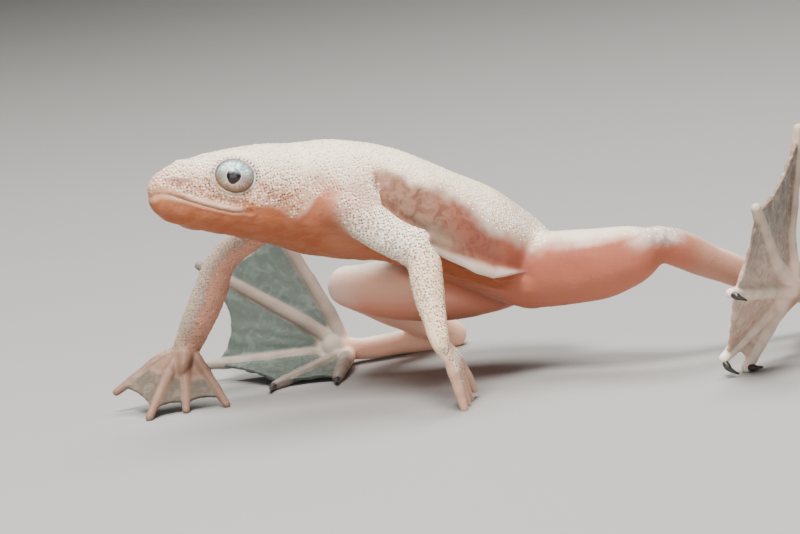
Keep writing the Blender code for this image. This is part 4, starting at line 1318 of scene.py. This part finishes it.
    # Lids: a pale rim with a row of dark beads, brown shade under the eye.
    colour = over("lid", 0.35, colour, (0.80, 0.80, 0.76))
    colour = over("shade", 0.7, colour, (0.33, 0.20, 0.11))
    for side in ("left", "right"):
        centre, across, upward, _ = eye_frame(side)
        middle = (centre - np.array((CENTRE[0], CENTRE[1], SINK))) * MM
        offset = n.put("ShaderNodeVectorMath", operation="SUBTRACT")
        n.link(where, offset.inputs[0])
        offset.inputs[1].default_value = tuple(middle)
        flat = []
        for axis, size in ((across, LID[0]), (upward, LID[1])):
            dot_node = n.put("ShaderNodeVectorMath", operation="DOT_PRODUCT")
            n.link(offset.outputs[0], dot_node.inputs[0])
            dot_node.inputs[1].default_value = tuple(axis / (size * MM))
            flat.append(dot_node.outputs["Value"])
        u, v = flat
        ring = n.maths("SQRT", n.maths("ADD", n.maths("MULTIPLY", u, u), n.maths("MULTIPLY", v, v)))
        turn = n.maths("ARCTAN2", v, u)
        beads = n.ease(n.maths("COSINE", n.maths("MULTIPLY", turn, 34.0)), -0.3, 0.6)
        row = n.ease(n.maths("ABSOLUTE", n.maths("SUBTRACT", ring, 1.17)), 0.025, 0.08, 1.0, 0.0)
        above_middle = n.ease(v, -0.35, 0.0)
        beads = n.maths("MULTIPLY", n.maths("MULTIPLY", beads, row), above_middle)
        near_lid = n.ease(n.mask("lid"), 0.1, 0.3)
        beads = n.maths("MULTIPLY", beads, near_lid)
        colour = over(beads, 0.95, colour, (0.06, 0.06, 0.06))
        # Painted shade along the lids' inner edge: brown below, near black at the sides, grey above.
        rim_shade = n.mix(n.ease(v, -0.75, -0.1), (0.24, 0.14, 0.075), (0.085, 0.08, 0.072))
        rim_shade = n.mix(n.ease(v, 0.55, 0.95), rim_shade, (0.28, 0.31, 0.31))
        mine = n.ease(ring, 1.5, 1.7, 1.0, 0.0)
        colour = over(n.maths("MULTIPLY", n.mask("rim"), mine), 0.92, colour, rim_shade)
    n.feed(n.shader.inputs["Base Color"], colour)

    # Wet sheen, broken up by the grain.
    gloss = n.noise(where, 2.2, 4)
    rough = n.ease(gloss, 0.3, 0.7, 0.28, 0.44)
    rough = n.maths("SUBTRACT", rough, n.maths("MULTIPLY", web, 0.08))
    rough = n.maths("ADD", rough, n.maths("MULTIPLY", salmon, 0.2))
    n.feed(n.shader.inputs["Roughness"], rough)
    n.shader.inputs["Subsurface Weight"].default_value = 0.2
    n.shader.inputs["Subsurface Radius"].default_value = (1.0, 0.35, 0.2)
    n.shader.inputs["Subsurface Scale"].default_value = 0.45 * MM
    n.shader.inputs["Coat Weight"].default_value = 0.04
    n.shader.inputs["Coat Roughness"].default_value = 0.16
    n.shader.inputs["IOR"].default_value = 1.28
    n.shader.inputs["Specular IOR Level"].default_value = 0.25

    top = n.ease(wart.outputs["Distance"], 0.05, 0.5, 1.0, 0.0)
    height = n.maths("ADD", top, n.maths("MULTIPLY", n.noise(where, 6.5, 3), 0.6))
    amount = n.maths("MULTIPLY_ADD", grain, 0.9, 0.1)
    normal = n.bump(height, 0.07, amount)
    creases = n.noise(n.place((1.0, 1.0, 1.7)), 1.7, 5, 0.6, 0.8)
    normal = n.bump(creases, 0.07, 0.35, normal)
    n.feed(n.shader.inputs["Normal"], normal)
    return material


def eye_material(side):
    """Painted by the eye's own axes: X across, Y up, Z out of the opening."""
    material = bpy.data.materials.new("frog_eye_" + side)
    n = Nodes(material)
    where = n.place()
    parts = n.put("ShaderNodeSeparateXYZ")
    n.link(where, parts.inputs[0])
    x, y, z = parts.outputs
    forward = PUPIL[0] * (-1 if side == "left" else 1)
    px = n.maths("SUBTRACT", x, forward * MM)
    py = n.maths("SUBTRACT", y, PUPIL[1] * MM)
    flat = n.maths("SQRT", n.maths("ADD", n.maths("MULTIPLY", px, px), n.maths("MULTIPLY", py, py)))
    r = n.maths("DIVIDE", flat, MM)  # millimetres from the pupil's middle
    angle = n.maths("ARCTAN2", py, px)
    ex = n.maths("DIVIDE", x, LID[0] * MM)
    ey = n.maths("DIVIDE", y, LID[1] * MM)
    edge = n.maths("SQRT", n.maths("ADD", n.maths("MULTIPLY", ex, ex), n.maths("MULTIPLY", ey, ey)))
    # Streaks that run outwards from the pupil.
    spokes = n.put("ShaderNodeCombineXYZ")
    n.link(n.maths("MULTIPLY", n.maths("COSINE", angle), 2.4 * MM), spokes.inputs[0])
    n.link(n.maths("MULTIPLY", n.maths("SINE", angle), 2.4 * MM), spokes.inputs[1])
    n.link(n.maths("MULTIPLY", r, 0.35 * MM), spokes.inputs[2])
    streak = n.noise(spokes.outputs[0], 3.2, 4, 0.6)
    fleck = n.noise(where, 4.5, 4, 0.65)
    high = n.maths("ADD", ey, n.maths("MULTIPLY_ADD", fleck, 0.5, -0.25))
    # The upper iris: partly its own pale turquoise, partly painted reflection of the light above, which brings it near
    # white.
    upper = n.mix(n.ease(streak, 0.40, 0.56), (0.22, 0.38, 0.37), (0.84, 1.0, 0.97))
    upper = n.mix(n.ease(fleck, 0.50, 0.62, 0.0, 0.75), upper, (0.20, 0.27, 0.28))
    lower = n.mix(n.ease(streak, 0.38, 0.6), (0.42, 0.27, 0.18), (0.80, 0.61, 0.48))
    side_tone = n.mix(n.ease(x, -0.9 * MM, 0.9 * MM), *((0.30, 0.30, 0.26), (0.40, 0.32, 0.30)))
    iris = n.mix(n.ease(high, -0.75, -0.2), lower, side_tone)
    iris = n.mix(n.ease(high, -0.15, 0.3), iris, upper)
    speck = n.cells(where, 4.2, "F1", 1.0)
    some = n.put("ShaderNodeSeparateColor")
    n.link(speck.outputs["Color"], some.inputs[0])
    dark = n.maths("MULTIPLY", n.ease(speck.outputs["Distance"], 0.15, 0.33, 1.0, 0.0), n.ease(some.outputs[0], 0.62, 0.7))
    iris = n.mix(n.maths("MULTIPLY", dark, 0.75), iris, (0.12, 0.13, 0.13))
    # The pupil: round above, drawn to a blunt point below.
    point = n.maths("POWER", n.maths("MAXIMUM", n.maths("MULTIPLY", n.maths("SINE", angle), -1.0), 0.0), 7.0)
    reach = n.maths("MULTIPLY_ADD", point, 0.09, 0.535)
    inside = n.maths("SUBTRACT", r, n.maths("ADD", reach, n.maths("MULTIPLY_ADD", fleck, 0.05, -0.025)))
    ring = n.ease(n.maths("ABSOLUTE", n.maths("SUBTRACT", inside, 0.05)), 0.0, 0.06, 1.0, 0.0)
    iris = n.mix(n.maths("MULTIPLY", ring, 0.65), iris, n.mix(n.ease(high, -0.3, 0.1), (0.80, 0.62, 0.50), (0.86, 0.90, 0.88)))
    # Painted reflection: the pupil's upper part is a cloudy blue-grey, its lower part near black.
    pupil_reflection = n.maths("ADD", n.maths("DIVIDE", py, 0.53 * MM), n.maths("MULTIPLY_ADD", fleck, 0.9, -0.45))
    pupil = n.mix(n.ease(pupil_reflection, 0.0, 0.75), (0.016, 0.010, 0.009), (0.22, 0.28, 0.30))
    colour = n.mix(n.ease(inside, -0.04, 0.025), pupil, iris)
    # Shaded towards the lids: brown below, grey beside, then the dark edge.
    brown = n.mix(n.ease(ey, -0.5, 0.2), (0.23, 0.13, 0.07), (0.22, 0.25, 0.24))
    colour = n.mix(n.ease(edge, 0.62, 0.95, 0.0, 0.92), colour, brown)
    last = n.mix(n.ease(ey, -0.75, -0.2), (0.16, 0.09, 0.05), (0.07, 0.068, 0.06))
    last = n.mix(n.ease(ey, 0.5, 0.9), last, (0.22, 0.25, 0.25))
    colour = n.mix(n.ease(edge, 0.93, 0.99, 0.0, 0.9), colour, last)
    colour = n.mix(n.ease(z, -0.4 * MM, 0.1 * MM), (0.08, 0.075, 0.07), colour)
    n.feed(n.shader.inputs["Base Color"], colour)
    n.feed(n.shader.inputs["Roughness"], n.ease(streak, 0.2, 0.8, 0.2, 0.34))
    n.shader.inputs["Coat Weight"].default_value = 0.65
    n.shader.inputs["Coat Roughness"].default_value = 0.04
    n.shader.inputs["IOR"].default_value = 1.4
    n.shader.inputs["Specular IOR Level"].default_value = 0.15
    n.feed(n.shader.inputs["Normal"], n.bump(streak, 0.04, 0.4))
    return material


def claw_material():
    material = bpy.data.materials.new("frog_claw")
    n = Nodes(material)
    where = n.place()
    grain = n.noise(where, 3.0, 4)
    colour = n.mix(grain, (0.012, 0.011, 0.010), (0.05, 0.042, 0.036))
    n.feed(n.shader.inputs["Base Color"], colour)
    n.feed(n.shader.inputs["Roughness"], n.ease(grain, 0.3, 0.7, 0.2, 0.4))
    n.feed(n.shader.inputs["Normal"], n.bump(grain, 0.03, 0.4))
    return material


def floor_material():
    material = bpy.data.materials.new("floor")
    n = Nodes(material)
    where = n.place()
    tone = n.noise(where, 0.02, 3)
    n.feed(n.shader.inputs["Base Color"], n.mix(tone, (0.275, 0.27, 0.262), (0.295, 0.29, 0.282)))
    n.shader.inputs["Roughness"].default_value = 0.7
    return material


# ------------------------------------------------------------------- pieces
FLESH = ["head", "trunk"] + [
    part + "_" + side
    for part in ("upper_arm", "forearm", "hand", "thigh", "shin", "tarsus", "foot")
    for side in ("left", "right")
]

things = bpy.data.collections.new("frog")
bpy.context.scene.collection.children.link(things)

skin = make_skin(things)
raise_details(skin)
skin.name = skin.data.name = "frog_skin"
skin.data.materials.clear()
skin.data.materials.append(skin_material())
skin.data.shade_smooth()
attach(skin, "root")
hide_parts(*FLESH)

SHIFT = np.array((-CENTRE[0], -CENTRE[1], -SINK))
for side in ("left", "right"):
    centre, across, up, out = eye_frame(side)
    bm = bmesh.new()
    bmesh.ops.create_uvsphere(bm, u_segments=96, v_segments=64, radius=1.0)
    for v in bm.verts:
        c = v.co
        # A low cornea in front, a flatter ball behind.
        c.z = c.z + 0.035 * math.exp(-((math.hypot(c.x, c.y) / 0.55) ** 2)) if c.z > 0 else c.z * 0.85
    bmesh.ops.scale(bm, vec=(EYE_RADIUS * MM, EYE_TALL * MM, EYE_RADIUS * MM), verts=bm.verts)
    eye = mesh_object("eyeball_" + side, bm, things)
    turn = Matrix((across, up, out)).transposed()
    eye.matrix_world = Matrix.Translation(Vector((centre + SHIFT) * MM)) @ turn.to_4x4()
    eye.data.materials.append(eye_material(side))
    eye.data.shade_smooth()
    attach(eye, "root")
    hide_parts("eye_" + side)

horn = claw_material()
for side in ("left", "right"):
    for number in range(3):
        rows = claw_rows(side, number)
        first, second = np.array(rows[0][:3]), np.array(rows[1][:3])
        root = first - unit(second - first) * 0.12 + unit(toe_paths(side)[number][-1] - first) * 0.16
        rows = [(*root, CLAW_RADIUS * 0.95)] + [tuple(r) for r in rows]
        rows = [((np.array(r[:3]) + SHIFT) * MM).tolist() + [r[3] * MM] for r in rows]
        bm = bmesh.new()
        tube(bm, rows, flat_way=(0.3, 0.2, 1.0), sides=24, per_span=8)
        claw = mesh_object("claw_horn_%s_%d" % (side, number + 1), bm, things)
        claw.data.materials.append(horn)
        claw.data.shade_smooth()
        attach(claw, "root")
        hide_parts("claw_%s_%d" % (side, number + 1))

# ------------------------------------------------------ floor, light, camera
bpy.ops.mesh.primitive_plane_add(size=4.0)
floor = bpy.context.object
floor.name = "floor"
floor.data.materials.append(floor_material())


def lamp(name, at, aim, size, power, colour):
    data = bpy.data.lights.new(name, "AREA")
    data.shape = "RECTANGLE"
    data.size, data.size_y = size
    data.energy = power
    data.color = colour
    item = bpy.data.objects.new(name, data)
    bpy.context.scene.collection.objects.link(item)
    item.location = at
    item.rotation_euler = (Vector(aim) - Vector(at)).to_track_quat("-Z", "Y").to_euler()
    return item


lamp("key", (-0.09, -0.13, 0.30), (-0.004, 0.0, 0.012), (0.13, 0.11), 2.6, (1.0, 0.975, 0.94))
lamp("top", (0.05, 0.10, 0.34), (0.0, 0.0, 0.01), (0.3, 0.24), 2.4, (1.0, 0.98, 0.94))
lamp("fill", (-0.20, -0.40, 0.08), (0.0, 0.0, 0.01), (0.35, 0.25), 0.9, (0.94, 0.97, 1.0))

world = bpy.data.worlds.new("studio")
bpy.context.scene.world = world
world.use_nodes = True
world.node_tree.nodes["Background"].inputs["Color"].default_value = (0.80, 0.81, 0.82, 1.0)
world.node_tree.nodes["Background"].inputs["Strength"].default_value = 0.15

# The photo's view: 21 degrees ahead of the left side, 8.5 degrees above the
# floor, rolled by 6.5 degrees, from 300 mm away.
AZIMUTH, ELEVATION, ROLL = (math.radians(a) for a in (-21.0, 8.5, 6.5))
DISTANCE = 300.0
AIM = np.array((0.0, 0.0, 9.4213))
back = np.array(
    (
        math.sin(AZIMUTH) * math.cos(ELEVATION),
        -math.cos(AZIMUTH) * math.cos(ELEVATION),
        math.sin(ELEVATION),
    )
)
level = np.array((math.cos(AZIMUTH), math.sin(AZIMUTH), 0.0))
upright = np.cross(level, -back)
right_way = math.cos(ROLL) * level - math.sin(ROLL) * upright
up_way = math.sin(ROLL) * level + math.cos(ROLL) * upright
lens = bpy.data.cameras.new("camera")
lens.lens = 176.85
lens.sensor_width = 36.0
lens.clip_start = 0.01
lens.clip_end = 20.0
camera = bpy.data.objects.new("camera", lens)
bpy.context.scene.collection.objects.link(camera)
turn = Matrix((right_way, up_way, back)).transposed()
camera.matrix_world = Matrix.Translation(Vector((AIM + back * DISTANCE + SHIFT) * MM)) @ turn.to_4x4()
bpy.context.scene.camera = camera
